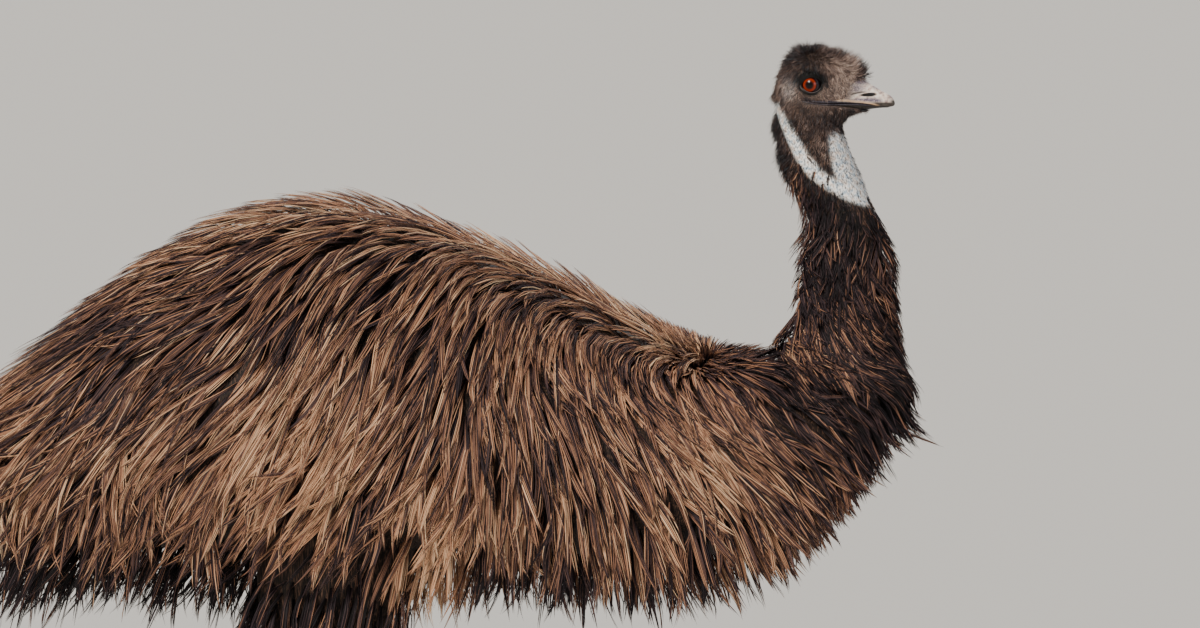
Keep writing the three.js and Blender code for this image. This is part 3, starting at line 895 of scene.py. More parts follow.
def fringe_line(spacing=20.0, nowhere=2000.0):
    """The height in mm of the solids' lower edge along the body, where the fringe ends."""
    marks = np.arange(-640.0, 641.0, spacing)
    low = np.full(len(marks), nowhere)
    for name in ("tail", "rump", "trunk", "breast"):
        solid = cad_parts[name]
        corners = np.array([solid.matrix_world @ v.co / MM for v in solid.data.vertices])
        for edge in solid.data.edges:
            a, b = corners[list(edge.vertices)]
            for t in np.linspace(0, 1, 9):
                spot = a + (b - a) * t
                i = int(round((spot[0] - marks[0]) / spacing))
                low[i] = min(low[i], spot[2])
    known = low < nowhere
    return through(marks[known], low[known])


def measure_coat(grid, normals, reach=90.0):
    """The way in mm from the skin out to the solids' outline, one value for each skin face."""
    solids = outline_tree(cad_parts)
    depth = np.empty(grid.shape[:2])
    for index in np.ndindex(depth.shape):
        start = Vector(grid[index] + normals[index] * reach)
        hit = solids.ray_cast(start, Vector(-normals[index]), reach)
        depth[index] = reach - hit[3] if hit[0] is not None else 0.0
    depth = (depth[:-1] + depth[1:]) / 2
    return ((depth + np.roll(depth, -1, 1)) / 2).ravel()


skin_tree = tree_of(sculpted)
coat_depth = measure_coat(sculpted, skin_normal)
fringe_z = fringe_line()
print("fringe:", [(x, int(fringe_z(x))) for x in range(-600, 601, 100)])
by_row = coat_depth.reshape(-1, SIDES)
for length in (300, 400, 500, 700, 1000, 1300, 1600):
    band = by_row[np.searchsorted(rows, length) - 1]
    print("coat at", length, "mm: ", np.percentile(band, [5, 50, 95]).round(1))

# %% [markdown]
# ## Roots of the plumes
# Roots are scattered over the skin a set distance apart, as in a real bird's feather tracts.
# Each root remembers where it lies on an unwrap of the skin: how far along the bird, and how
# far around. Neighbouring roots are gathered into clumps, because wind and damp make plumes
# lean together.

# %% Scatter roots
TRIES_PER_CELL = 7


def spaced(points, spacing):
    """Which points to keep, so that about one is left in each cell of a turned lattice."""
    turned = points @ np.linalg.qr(chance.normal(size=(3, 3)))[0]
    return np.unique(np.floor(turned / spacing), axis=0, return_index=True)[1]


def scatter(first, last, spacing, share):
    """Roots between two lengths along the bird, about one to each cell of the spacing (mm).

    The share thins them out: a function of their places that gives the part to keep."""
    low, high = np.searchsorted(rows, [first, last])
    grid = plain_skin[low:high + 1]
    across = np.linalg.norm(np.roll(grid, -1, 1) - grid, axis=-1)
    along = np.linalg.norm(np.diff(grid, axis=0), axis=-1)
    area = (across[:-1] + across[1:]) / 2 * along
    total = area.sum()
    count = int(TRIES_PER_CELL * total / spacing**2)
    cells = chance.choice(area.size, count, p=(area / total).ravel())
    row, column = np.divmod(cells, SIDES)
    along_at = np.interp(low + row + chance.random(count), np.arange(len(rows)), rows)
    turn_at = (column + chance.random(count)) * 2 * math.pi / SIDES
    points = skin_point(along_at, turn_at)
    kept = spaced(points, spacing)
    kept = kept[chance.random(len(kept)) < share(points[kept])]
    unwrap = np.stack([turn_at[kept] / (2 * math.pi), (along_at[kept] - first) / (last - first)], -1)
    return points[kept], unwrap


def clumps(points, normals, size):
    """For each root its clump's number and how far it sits to the side of the clump's middle, and
    the number of clumps."""
    middles = points[np.unique(np.floor(points / size), axis=0, return_index=True)[1]]
    search = KDTree(len(middles))
    for i, middle in enumerate(middles):
        search.insert(middle, i)
    search.balance()
    number = np.array([search.find(point)[1] for point in points])
    lie = lie_direction(points, normals)
    beside = np.cross(lie, normals)
    return number, ((points - middles[number]) * beside).sum(1), len(middles)

# %% [markdown]
# ## Plumes
# Each lock starts as one path: it leaves the skin, rises through the coat, turns with the lie
# and bends over the body's curves, but on the underside it lets go of the body and hangs. Four
# to six barb strands share the path. They start close together, spread to the lock's width, and
# close again to a point. Each has its own length, which gives the ragged tips. A strand is a
# closed three-sided blade with a ridge on top, so it catches the light along its length.

# %% Paths through the coat
PATH_STEPS = 7
ROOT_DEPTH = 2.0  # mm that a root sits below the skin


def grow_paths(points, normals, length, layer, turn, curl, free, near, lie):
    """Paths in mm (root, step, xyz) and the skin's normal at each step.

    layer is the share of the coat's depth that the tip reaches, turn and curl are in degrees,
    and free says how little a lock holds to the skin's curve, from 0 to 1."""
    place = points - ROOT_DEPTH * normals
    nearest, around = points.copy(), normals.copy()
    path, out = [place.copy()], [normals.copy()]
    pace = (length / (PATH_STEPS - 1))[:, None]
    for step in range(1, PATH_STEPS):
        t = step / (PATH_STEPS - 1)
        along = lie(nearest, around, turn + curl * (t - 0.3))
        under = (step_up(-around[:, 2], -0.1, 0.4) * 0.95)[:, None]
        angle = np.radians(0.8 * lie_angle(nearest) + turn + curl * (t - 0.3))
        hang = np.stack([-np.sin(angle), 0.12 * np.sign(around[:, 1]), -np.cos(angle)], -1)
        place = place + unit(along * (1 - under) + hang * under) * pace
        nearest, around, depth = near(place)
        height = ((place - nearest) * around).sum(1)
        missing = depth * layer * (0.12 + 0.88 * t**0.7) - height
        hold = np.where(missing > 0, 0.9, 0.75 * (1 - free) * (1 - under[:, 0]))
        place = place + around * (missing * hold)[:, None]
        path.append(place.copy())
        out.append(around.copy())
    return np.stack(path, 1), np.stack(out, 1)


def apron(x):
    """How far in mm the plumes hang below the solids' edge, where they cover the thighs."""
    return 62 * step_up(x, -345, -290) * (1 - step_up(x, 70, 112)) + 26 * step_up(-x, 380, 440)


def cut_at_fringe(path, out, ragged):
    """Shortens the paths that would hang below the fringe, which is ragged by some mm."""
    edge = fringe_z(path[..., 0]) - apron(path[..., 0])
    over = path[..., 2] - (edge + ragged[:, None])
    share = np.ones(len(path))
    for i, line in enumerate(over):
        if line[-1] < 0 and line[0] > 0:
            step = int(np.argmax(line < 0))
            share[i] = (step - 1 + line[step - 1] / (line[step - 1] - line[step])) / (len(line) - 1)
    marks = np.linspace(0, 1, path.shape[1])[None, None, :] * np.maximum(share, 0.35)[:, None, None]
    return at_share(path, marks)[:, 0], at_share(out, marks)[:, 0]


def at_share(path, share):
    """Places on each path at shares of its length: path (n, k, 3), share (n, s, m)."""
    at = np.clip(share, 0, 1) * (path.shape[1] - 1)
    low = np.clip(np.floor(at).astype(int), 0, path.shape[1] - 2)
    part = (at - low)[..., None]
    row = np.arange(len(path))[:, None, None]
    return path[row, low] * (1 - part) + path[row, low + 1] * part


# %% Strands along the paths
STRAND_MARKS = np.array([0.04, 0.36, 0.66, 0.87, 1.0])  # shares of the length, the tip last
STRAND_WIDTH = np.array([0.75, 1.0, 0.95, 0.72])
STRAND_RINGS = len(STRAND_WIDTH)
STRAND_TRIANGLES = 6 * STRAND_RINGS - 2
BAKE_PATCH = 0.003  # side of each tuft's own square on the OFBake map
ROOF = 0.25  # how far the outer strands hang below the middle one, as a share of the half width


def spread_lock(path, out, count, width):
    """Splits each path into strands that spread and close again.

    Returns their places, the directions across and above them, and their seats from -1 to 1."""
    n = len(path)
    seat = np.linspace(-1, 1, count)[None, :] + chance.normal(0, 0.10, (n, count))
    reach = 1 - np.abs(seat) ** 1.5 * chance.uniform(0.05, 0.34, (n, count))
    reach -= chance.uniform(0, 0.10, (n, count))
    share = STRAND_MARKS[None, None, :] * reach[..., None]
    middle, up = at_share(path, share), at_share(out, share)
    ahead = unit(at_share(path, share + 0.02) - at_share(path, share - 0.02))
    up = unit(flattened(up, ahead))
    beside = np.cross(ahead, up)
    fan = (0.35 + 0.65 * step_up(share, 0.0, 0.45)) * (1 - 0.62 * step_up(share, 0.6, 1.04))
    half = (width / 2)[:, None, None]
    aside = seat[..., None] * half * fan
    lift = -ROOF * np.abs(seat[..., None]) ** 2 * half * fan
    lift = lift + chance.normal(0, 0.55, (n, count, 1)) * step_up(share, 0, 0.4)
    stray = chance.normal(0, 1, (n, count, 1)) * (chance.random((n, count, 1)) < 0.16)
    aside = aside + stray * half * 0.7 * share**2
    lift = lift + np.abs(stray) * half * 0.4 * share**2
    return middle + beside * aside[..., None] + up * lift[..., None], beside, up, seat


def blade_faces(rings):
    """Faces of a closed three-sided blade: rings of three points, and then the tip."""
    quads = [
        (a + i, a + (i + 1) % 3, a + 3 + (i + 1) % 3, a + 3 + i)
        for a in range(0, 3 * (rings - 1), 3) for i in range(3)
    ]
    last = 3 * (rings - 1)
    return quads, [(2, 1, 0)] + [(last + i, last + (i + 1) % 3, last + 3) for i in range(3)]


def blade_map(marks):
    """Places of a blade's points across it and along it, for rings at the marks and a tip at 1."""
    across = np.append(np.tile([0.0, 0.5, 1.0], len(marks)), 0.5)
    return np.stack([across, np.append(np.repeat(marks, 3), 1.0)], -1)


def point_values(mesh, name, values):
    """Gives each point of a mesh a number or a vector."""
    kind, field = ("FLOAT", "value") if np.ndim(values) == 1 else ("FLOAT_VECTOR", "vector")
    layer = mesh.attributes.new(name, kind, "POINT")
    layer.data.foreach_set(field, np.asarray(values).astype(np.float32).ravel())


def strand_mesh(name, places, beside, up, half_width, unwrap, tone):
    """One mesh of closed three-sided blades: places (n, 5, 3) in mm, the last one the tip."""
    n, rings = len(places), STRAND_RINGS
    wide = (half_width[:, None] * STRAND_WIDTH)[..., None]
    tall = ((half_width * 0.8)[:, None] * STRAND_WIDTH)[..., None]
    base, beside, up = places[:, :rings], beside[:, :rings], up[:, :rings]
    left = base - beside * wide - up * tall * 0.35
    right = base + beside * wide - up * tall * 0.35
    ridge = base + up * tall * 0.65
    loops = np.stack([left, ridge, right], 2).reshape(n, rings * 3, 3)
    points = np.concatenate([loops, places[:, -1:]], 1)
    size = rings * 3 + 1
    start = (np.arange(n) * size)[:, None, None]
    faces = [(start + np.array(group)[None]).reshape(-1, len(group[0])) for group in blade_faces(rings)]
    made = mesh_object(name, points.reshape(-1, 3) * MM, faces)
    local = np.tile(blade_map(STRAND_MARKS[:rings]), (n, 1))
    corner_map(made, "OFBake", np.repeat(unwrap, size, axis=0) + (local - 0.5) * BAKE_PATCH)
    local[:, 0] += np.repeat(chance.integers(0, 40, n), size)  # a whole number picks other noise
    corner_map(made, "strand", local)
    point_values(made.data, "tone", np.repeat(tone, size))
    return made


# %% Where the coat is dark or tan
MEAN_TONE = 0.575


def plume_tone(points):
    """The mean tone of the plumes at a place: 0 is slate black, 1 light tan."""
    x, z = points[:, 0], points[:, 2]
    patches = np.array([
        # x, z and half sizes in mm; how much lighter or darker
        # (52, 645) below is a tan clump, painted lighter still as painted light where it faces down.
        (-70, 770, 95, 90, 0.38), (-200, 715, 200, 110, 0.12), (52, 645, 52, 70, 0.85),
        (-300, 890, 60, 55, 0.12), (-380, 935, 150, 95, -0.36), (-221, 1021, 110, 35, -0.06),
        # (-450, 630) below is painted shade at the coat's lower edge under the tail.
        (-315, 775, 50, 40, 0.20), (-12, 700, 42, 55, -0.48), (-450, 630, 90, 40, -0.20),
        (435, 775, 45, 50, 0.16), (135, 810, 50, 60, 0.08), (585, 960, 40, 60, 0.08),
        (-102, 955, 65, 55, -0.10), (41, 850, 60, 45, -0.16), (180, 890, 60, 60, 0.07),
        (370, 770, 70, 100, 0.10), (-471, 680, 60, 60, -0.08),
        (546, 1044, 17, 20, 0.36), (596, 990, 34, 70, 0.16), (520, 950, 30, 40, -0.16),
    ])
    tone = np.full(len(points), MEAN_TONE)
    for at_x, at_z, long, tall, change in patches:
        tone += change * hill(np.hypot((x - at_x) / long, (z - at_z) / tall), 1.0)
    tone -= 0.28 * step_up(x, 410, 540) * step_up(z, 730, 840)
    tone -= 0.12 * step_up(z, 900, 1010) * step_up(x, 430, 500)
    # Painted shade under the belly: the lowest plumes are darker, except at the tan clump in front of the
    # thigh.
    tone -= 0.36 * step_up(-z, -670, -610) * (1 - hill(x - 52, 50))
    tone += 0.35 * hill(np.hypot(x - PARTING_X - 5, points[:, 1]), 26) * step_up(z, 870, 890)
    return tone


# %% [markdown]
# ## The body's plumage
# The coat is made in pieces from tail to breast, each with its own place on the unwrap, so no
# piece grows too heavy. Locks are longest on the tail and rump and shorter towards the neck.
# Each lock is painted lighter along one edge and darker along the other, a painted highlight and painted
# shade along its whole length.

# %% One piece of plumage
HANG_LENGTH = through([-520, -430, -250, 0, 250, 420, 560, 640], [185, 170, 142, 132, 122, 104, 92, 88])
CLUMP_MM = 46.0
plumage = {}


def plume_piece(name, points, unwrap, length, width, strands, free, wild=1.0, layer=0.88, fine=0.4,
                near=None, lie=None, dry_end=True):
    """Grows the locks of one stretch of coat and joins them in one mesh.

    wild scales all disorder, layer is the mean share of the coat's depth that tips reach, and
    fine says how much the colour changes from strand to strand instead of from lock to lock."""
    near, lie = near or skin_near, lie or lie_direction
    nearest, normals, _ = near(points)
    number, aside, groups = clumps(points, normals, CLUMP_MM)
    n = len(points)
    wild, fine = np.broadcast_to(wild, n), np.broadcast_to(fine, n)
    on_top = hill(normals[:, 1], 0.5) * step_up(normals[:, 2], 0.1, 0.5)
    turn = (chance.normal(0, 7.0, groups)[number] + chance.normal(0, 6.0, n)) * wild
    turn = turn - np.clip(aside, -25, 25) * chance.uniform(0.0, 0.6, groups)[number] * 0.7
    curl = chance.normal(0, 13.0, n) * wild
    layers = chance.normal(layer, 0.12, n) + chance.normal(0, 0.06, groups)[number] * wild
    layers += (1.1 - layer - 0.5 * (layers - layer)) * on_top
    stretch = np.clip(chance.normal(1.0, 0.14, n), 0.6, 1.35)
    path, out = grow_paths(
        points, normals, length * stretch, np.clip(layers, 0.35, 1.2), turn, curl, free, near, lie
    )
    if dry_end:
        path, out = cut_at_fringe(path, out, chance.normal(-12, 14, n))
    wide = width * chance.uniform(0.7, 1.25, n) * (1 - 0.3 * step_up(layers, 1.0, 1.15))
    places, beside, up, seat = spread_lock(path, out, strands, wide)
    base = plume_tone(path[:, 4]) + chance.normal(0, 0.07, groups)[number] + chance.normal(0, 0.08, n)
    # Painted highlight on one edge of each lock and painted shade on the other.
    lit_edge = chance.choice([-1.0, 1.0], n) * chance.uniform(0.05, 0.30, n) * (1.15 - 0.6 * fine)
    tone = base[:, None] + lit_edge[:, None] * np.sign(seat - chance.uniform(-0.4, 0.4, (n, 1)))
    tone = tone + chance.normal(0, 1, (n, strands)) * (0.08 + 0.16 * fine)[:, None]
    half_width = np.clip(chance.normal(1.0, 0.22, (n, strands)), 0.5, 1.35) * (wide / strands * 0.60)[:, None]
    total = n * strands
    plumage[name] = strand_mesh(
        name, *(part.reshape(total, -1, 3) for part in (places, beside, up)), half_width.ravel(),
        np.repeat(unwrap, strands, axis=0), (0.5 + 0.5 * np.tanh(2 * tone - 1)).ravel(),
    )
    print(f"{name}: {n} locks, {total} strands, {total * STRAND_TRIANGLES} triangles")


# %% Grow the body's plumage
def body_share(points):
    """Fewer roots under the belly, where nothing shows, and more beside the parting."""
    normals = skin_near(points)[1]
    return 0.57 - 0.33 * step_up(-normals[:, 2], 0.35, 0.85) + 0.24 * hill(normals[:, 1], 0.3)


BODY_SPACING, PARTING_SPACING, NECK_SPACING = 11.4, 5.8, 7.35  # mm between roots
BODY_STRETCHES = [
    # name, and where it starts and ends as shares of the trunk's length
    ("plumage_breast", 0.00, 0.165),
    ("plumage_shoulders", 0.165, 0.295),
    ("plumage_flanks", 0.295, 0.415),
    ("plumage_saddle", 0.415, 0.535),
    ("plumage_back", 0.535, 0.655),
    ("plumage_rump", 0.655, 0.79),
    ("plumage_tail", 0.79, 0.992),
]
TRUNK_START = NECK_END - 25
TRUNK_SPAN = RING_AT[-1] - TRUNK_START
for name, first, last in BODY_STRETCHES:
    start, end = TRUNK_START + first * TRUNK_SPAN, TRUNK_START + last * TRUNK_SPAN
    points, unwrap = scatter(start, end, BODY_SPACING, body_share)
    x, z = points[:, 0], points[:, 2]
    shaggy = step_up(-z, -880, -760) * step_up(300 - x, 0, 200)
    sleek = step_up(-x, -50, 150) * step_up(z, 880, 980)
    plume_piece(
        name, points, unwrap, HANG_LENGTH(x) * (1 - 0.25 * shaggy - 0.15 * sleek), 8.0 - 1.0 * sleek, 6,
        step_up(-z, -760, -690), wild=1 + 0.9 * shaggy - 0.1 * sleek, fine=0.7 + 0.3 * (shaggy + sleek),
    )


def near_parting(points):
    """The part of the roots to keep beside the place where forward and backward plumes part."""
    past = np.maximum(np.abs(points[:, 0] - PARTING_X + 14) - 24, 0)
    aside = np.maximum(np.abs(points[:, 1]) - 60, 0)
    return hill(np.hypot(past, aside), 20) * step_up(points[:, 2], 850, 870)


start, end = TRUNK_START + 0.05 * TRUNK_SPAN, TRUNK_START + 0.40 * TRUNK_SPAN
points, unwrap = scatter(start, end, PARTING_SPACING, near_parting)
plume_piece("plumage_parting", points, unwrap, 44.0 + 0 * points[:, 0], 4.5, 4, 0.0, wild=2.2, layer=0.8)


# %% The neck's shaggy plumes and the black collar
def collar_line(x):
    """Height of the collar's upper edge, which slants down from the nape to the throat."""
    return through([470, 500, 530, 560, 590], [1152, 1142, 1125, 1108, 1094])(x)


def neck_share(points):
    """Keeps the roots below the collar's edge, which is ragged by some mm."""
    ragged = chance.normal(8, 8, len(points))
    return (points[:, 2] < collar_line(points[:, 0]) + ragged).astype(float)


points, unwrap = scatter(RING_AT[18], TRUNK_START + 20, NECK_SPACING, neck_share)
z = points[:, 2]
neck_length = through([860, 930, 1000, 1060, 1100, 1150], [86, 78, 62, 46, 30, 20])(z)
neck_width = through([900, 1000, 1060, 1150], [6.5, 5.5, 4.5, 3.0])(z)
plume_piece("plumage_neck", points, unwrap, neck_length, neck_width, 5, 0.0, wild=1.9, layer=0.9, fine=0.7)

# %% [markdown]
# ## Short hair-like feathers of the head and neck
# On the head the feathers have shrunk to bristles a centimetre long, stiff and black on the
# crown, soft and pinkish grey on the forehead and cheeks. They are the same small blade over
# and over, so Geometry Nodes places them: one blade on each root, turned to the root's own aim.

# %% The blade
def bristle_blade(droop=0.30):
    """One bristle of length 1 that stands along Z and bends towards X."""
    t = np.array([0.0, 0.55])
    radius = 0.027 * np.array([1.0, 0.8])
    bend = droop * t**2
    turn = np.radians([90, 210, 330])
    ring = np.stack([
        bend[:, None] + radius[:, None] * np.cos(turn), radius[:, None] * np.sin(turn),
        t[:, None] + 0 * turn,
    ], -1)
    points = np.concatenate([ring.reshape(-1, 3), [[droop, 0, 1.0]]])
    made = mesh_object("bristle", points, blade_faces(len(t)))
    corner_map(made, "strand", blade_map(t))
    return made


# %% The bristles' node tree
ROOT_VECTORS = ("aim", "bend", "size", "patch")
def vector_step(tree, operation, first, **others):
    """One step of arithmetic with vectors."""
    return node(tree, "ShaderNodeVectorMath", {"operation": operation}, _0=first, **others), "Vector"


def bristle_tree():
    """Puts one blade on each root and gives it its own patch of the OFBake map."""
    tree = bpy.data.node_groups.new("bristles_on_roots", "GeometryNodeTree")
    sockets = {"Roots": "Geometry", "Blade": "Object", "Finish": "Material", "Patch size": "Float"}
    for name, kind in sockets.items():
        tree.interface.new_socket(name, in_out="INPUT", socket_type="NodeSocket" + kind)
    tree.interface.new_socket("Bristles", in_out="OUTPUT", socket_type="NodeSocketGeometry")
    ends = node(tree, "NodeGroupInput")
    blade = node(tree, "GeometryNodeObjectInfo", Object=(ends, "Blade"))
    aim, bend, size, patch, local = [
        (node(tree, "GeometryNodeInputNamedAttribute", {"data_type": "FLOAT_VECTOR"}, Name=name), "Attribute")
        for name in (*ROOT_VECTORS, "strand")
    ]
    upright = node(tree, "FunctionNodeAlignRotationToVector", {"axis": "Z"}, Vector=aim)
    turned = node(tree, "FunctionNodeAlignRotationToVector", {"axis": "X", "pivot_axis": "Z"},
                  Rotation=(upright, "Rotation"), Vector=bend)
    stood = node(tree, "GeometryNodeInstanceOnPoints", Points=(ends, "Roots"),
                 Instance=(blade, "Geometry"), Rotation=(turned, "Rotation"), Scale=size)
    real = node(tree, "GeometryNodeRealizeInstances", Geometry=(stood, "Instances"))
    middle = vector_step(tree, "SUBTRACT", local, _1=(0.5, 0.5, 0.0))
    small = vector_step(tree, "SCALE", middle, Scale=(ends, "Patch size"))
    spot = vector_step(tree, "ADD", patch, _1=small)
    stored = node(tree, "GeometryNodeStoreNamedAttribute", {"data_type": "FLOAT2", "domain": "CORNER"},
                  Geometry=(real, "Geometry"), Name="OFBake", Value=spot)
    finished = node(tree, "GeometryNodeSetMaterial", Geometry=(stored, "Geometry"),
                    Material=(ends, "Finish"))
    node(tree, "NodeGroupOutput", Bristles=(finished, "Geometry"))
    return tree


def grow_bristles(name, roots, aim, bend, size, unwrap, values, finish):
    """A blade on every root, as one plain mesh. Sizes in mm, values are colour attributes."""
    mesh = bpy.data.meshes.new(name + "_roots")
    mesh.vertices.add(len(roots))
    mesh.vertices.foreach_set("co", (roots * MM).astype(np.float32).ravel())
    patch = np.concatenate([unwrap, np.zeros((len(roots), 1))], 1)
    for key, value in {**dict(zip(ROOT_VECTORS, (aim, bend, size * MM, patch))), **values}.items():
        point_values(mesh, key, value)
    source = add_object(name + "_roots", mesh)
    grown = source.modifiers.new("bristles", "NODES")
    grown.node_group = bristles
    inputs = {"Blade": blade, "Finish": finish, "Patch size": BAKE_PATCH}
    for item in bristles.interface.items_tree:
        if item.in_out == "INPUT" and item.name in inputs:
            grown[item.identifier] = inputs[item.name]
    evaluated = source.evaluated_get(bpy.context.evaluated_depsgraph_get())
    result = bpy.data.meshes.new_from_object(evaluated)
    result.name = name
    bpy.data.objects.remove(source)
    made = add_object(name, result)
    for extra in ROOT_VECTORS:
        if extra in result.attributes:
            result.attributes.remove(result.attributes[extra])
    count = sum(len(f.vertices) - 2 for f in result.polygons)
    print(f"{name}: {len(roots)} bristles, {count} triangles, maps {[m.name for m in result.uv_layers]}")
    return made


blade = bristle_blade()
bristles = bristle_tree()

# %% Bristle material
# Thin keratin hairs: near black to pinkish grey, bluish where bare skin shines through.
hair, tree, shader, place = finish_of("bristle_keratin", 0.5, Specular_IOR_Level=0.3)
colour = ramp(tree, attribute(tree, "tone"), [
    (0.0, "#0b0809"), (0.28, "#2e2325"), (0.5, "#5f4b43"), (0.75, "#a08578"), (1.0, "#d6bfb0"),
])
paint(tree, shader, mixed(tree, attribute(tree, "cold"), colour, tint("#a9b7c2")))


# %% Where and how the head's bristles grow
def face_fields(points):
    """Lie, lift, length and tone of the head's bristles, blended from measured places."""
    # x, z in mm; heading x, z; lift in degrees; length in mm; tone
    table = np.array([
        (598, 1249, 0.80, -0.6, 30, 6, 0.35), (575, 1262, 0.70, -0.7, 38, 8, 0.25),
        (566, 1255, 0.30, -0.9, 22, 4, 0.68), (552, 1268, 0.25, -0.95, 30, 9, 0.72),
        (548, 1250, 0.35, -0.95, 18, 5, 0.66), (535, 1276, 0.20, -0.95, 36, 12, 0.68),
        (538, 1262, 0.10, -1.0, 24, 9, 0.60), (518, 1273, 0.0, -1.0, 30, 10, 0.50),
        (518, 1284, 0.1, -0.6, 46, 13, 0.10), (500, 1282, -0.3, -0.6, 48, 13, 0.12),
        (486, 1272, -0.5, -0.7, 44, 12, 0.20), (497, 1266, -0.25, -1.0, 26, 8, 0.44),
        (514, 1262, 0.1, -0.9, 34, 6, -0.15), (501, 1257, -0.4, -0.8, 28, 5, -0.05),
        (528, 1257, 0.5, -0.8, 24, 5, 0.0), (514, 1232, -0.3, -0.9, 14, 4, 0.30),
        (535, 1289, 0.1, -0.6, 44, 13, 0.08), (550, 1284, 0.3, -0.6, 44, 13, 0.14),
        (488, 1255, -0.5, -0.85, 26, 8, 0.46), (476, 1258, -0.5, -0.85, 42, 11, 0.26),
        (471, 1235, -0.4, -0.9, 40, 11, 0.20), (488, 1240, -0.5, -0.85, 16, 6, 0.92),
        (478, 1222, -0.45, -0.9, 28, 8, 0.36), (470, 1200, -0.45, -0.9, 40, 11, 0.14),
        (500, 1226, -0.5, -0.85, 16, 6, 0.32), (512, 1216, -0.4, -0.9, 18, 7, 0.30),
        (535, 1238, 0.6, -0.8, 13, 5.5, 0.56), (550, 1232, 0.7, -0.7, 12, 4.6, 0.56),
        (530, 1228, 0.4, -0.9, 12, 5.0, 0.48), (545, 1214, 0.1, -1.0, 18, 6, 0.28),
        (565, 1211, 0.45, -0.9, 22, 7, 0.32), (585, 1212, 0.9, -0.45, 20, 9, 0.30),
        (548, 1198, -0.2, -1.0, 34, 10, 0.17), (530, 1205, -0.35, -0.95, 24, 8, 0.22),
        (510, 1195, -0.3, -0.95, 22, 8, 0.26), (532, 1182, -0.2, -1.0, 28, 8, 0.42),
        (490, 1180, -0.3, -0.95, 24, 7, 0.36), (470, 1165, -0.4, -0.9, 46, 12, 0.10),
        (520, 1165, -0.1, -1.0, 22, 7, 0.36), (555, 1170, 0.1, -1.0, 26, 8, 0.35),
        (530, 1130, 0.0, -1.0, 26, 9, 0.15), (575, 1120, 0.3, -0.95, 26, 9, 0.15),
    ])
    gap = points[:, None, [0, 2]] - table[None, :, :2]
    weight = np.exp(-(gap**2).sum(-1) / (2 * 9.0**2)) + 1e-12
    return (weight @ table[:, 2:]) / weight.sum(1, keepdims=True)


# The bare skin's middle lines, x and z in mm: a stripe from ear to throat, and the throat's front.
STRIPE = np.array([
    (467, 1231), (473, 1216), (488, 1187), (504, 1158), (525, 1133), (541, 1121), (560, 1115), (590, 1106),
])
FRONT_BARE = np.array([(545, 1182), (552, 1160), (560, 1138), (566, 1118)])


def distance_to_line(points, line):
    """Distance seen from the side, and how far along the line the nearest place is."""
    best = np.full(len(points), 1e9)
    along = np.zeros(len(points))
    spot = points[:, [0, 2]]
    for i, (a, b) in enumerate(zip(line[:-1].astype(float), line[1:].astype(float))):
        t = np.clip(((spot - a) @ (b - a)) / ((b - a) @ (b - a)), 0, 1)
        d = np.linalg.norm(spot - a - t[:, None] * (b - a), axis=1)
        along = np.where(d < best, (i + t) / (len(line) - 1), along)
        best = np.minimum(best, d)
    return best, along


def bare_share(points):
    """1 on the bare blue-white skin of the neck."""
    stripe, down = distance_to_line(points, STRIPE)
    half = 5.5 + 7 * down
    front, low = distance_to_line(points, FRONT_BARE)
    bare = 1 - step_up(stripe, half - 2.5, half + 2.5)
    wide = 9 + 10 * low
    bare = np.maximum(bare, 0.9 * (1 - step_up(front, wide - 4, wide + 4)))
    above_collar = step_up(points[:, 2] - collar_line(points[:, 0]), -9, 2)
    return bare * above_collar * step_up(1233 - points[:, 2], 0, 9)


def head_density(points):
    """How many of the roots stay: none on horn, lids and bare skin."""
    dx, dz = in_face(points)
    away = np.hypot(dx, dz * 1.06)
    keep = 1 - horn_share(points, 0.1, 0.8)
    keep = keep * np.where(np.abs(points[:, 1]) > 8, step_up(away, 13.5, 16.0), 1)
    ear = hill(np.hypot(points[:, 0] - 487.5, (points[:, 2] - 1242) / 1.5), 6)
    below_collar = step_up(collar_line(points[:, 0]) - points[:, 2], 8, 28)
    return keep * (1 - 0.15 * ear) * (1 - 0.92 * bare_share(points)) * (1 - below_collar)


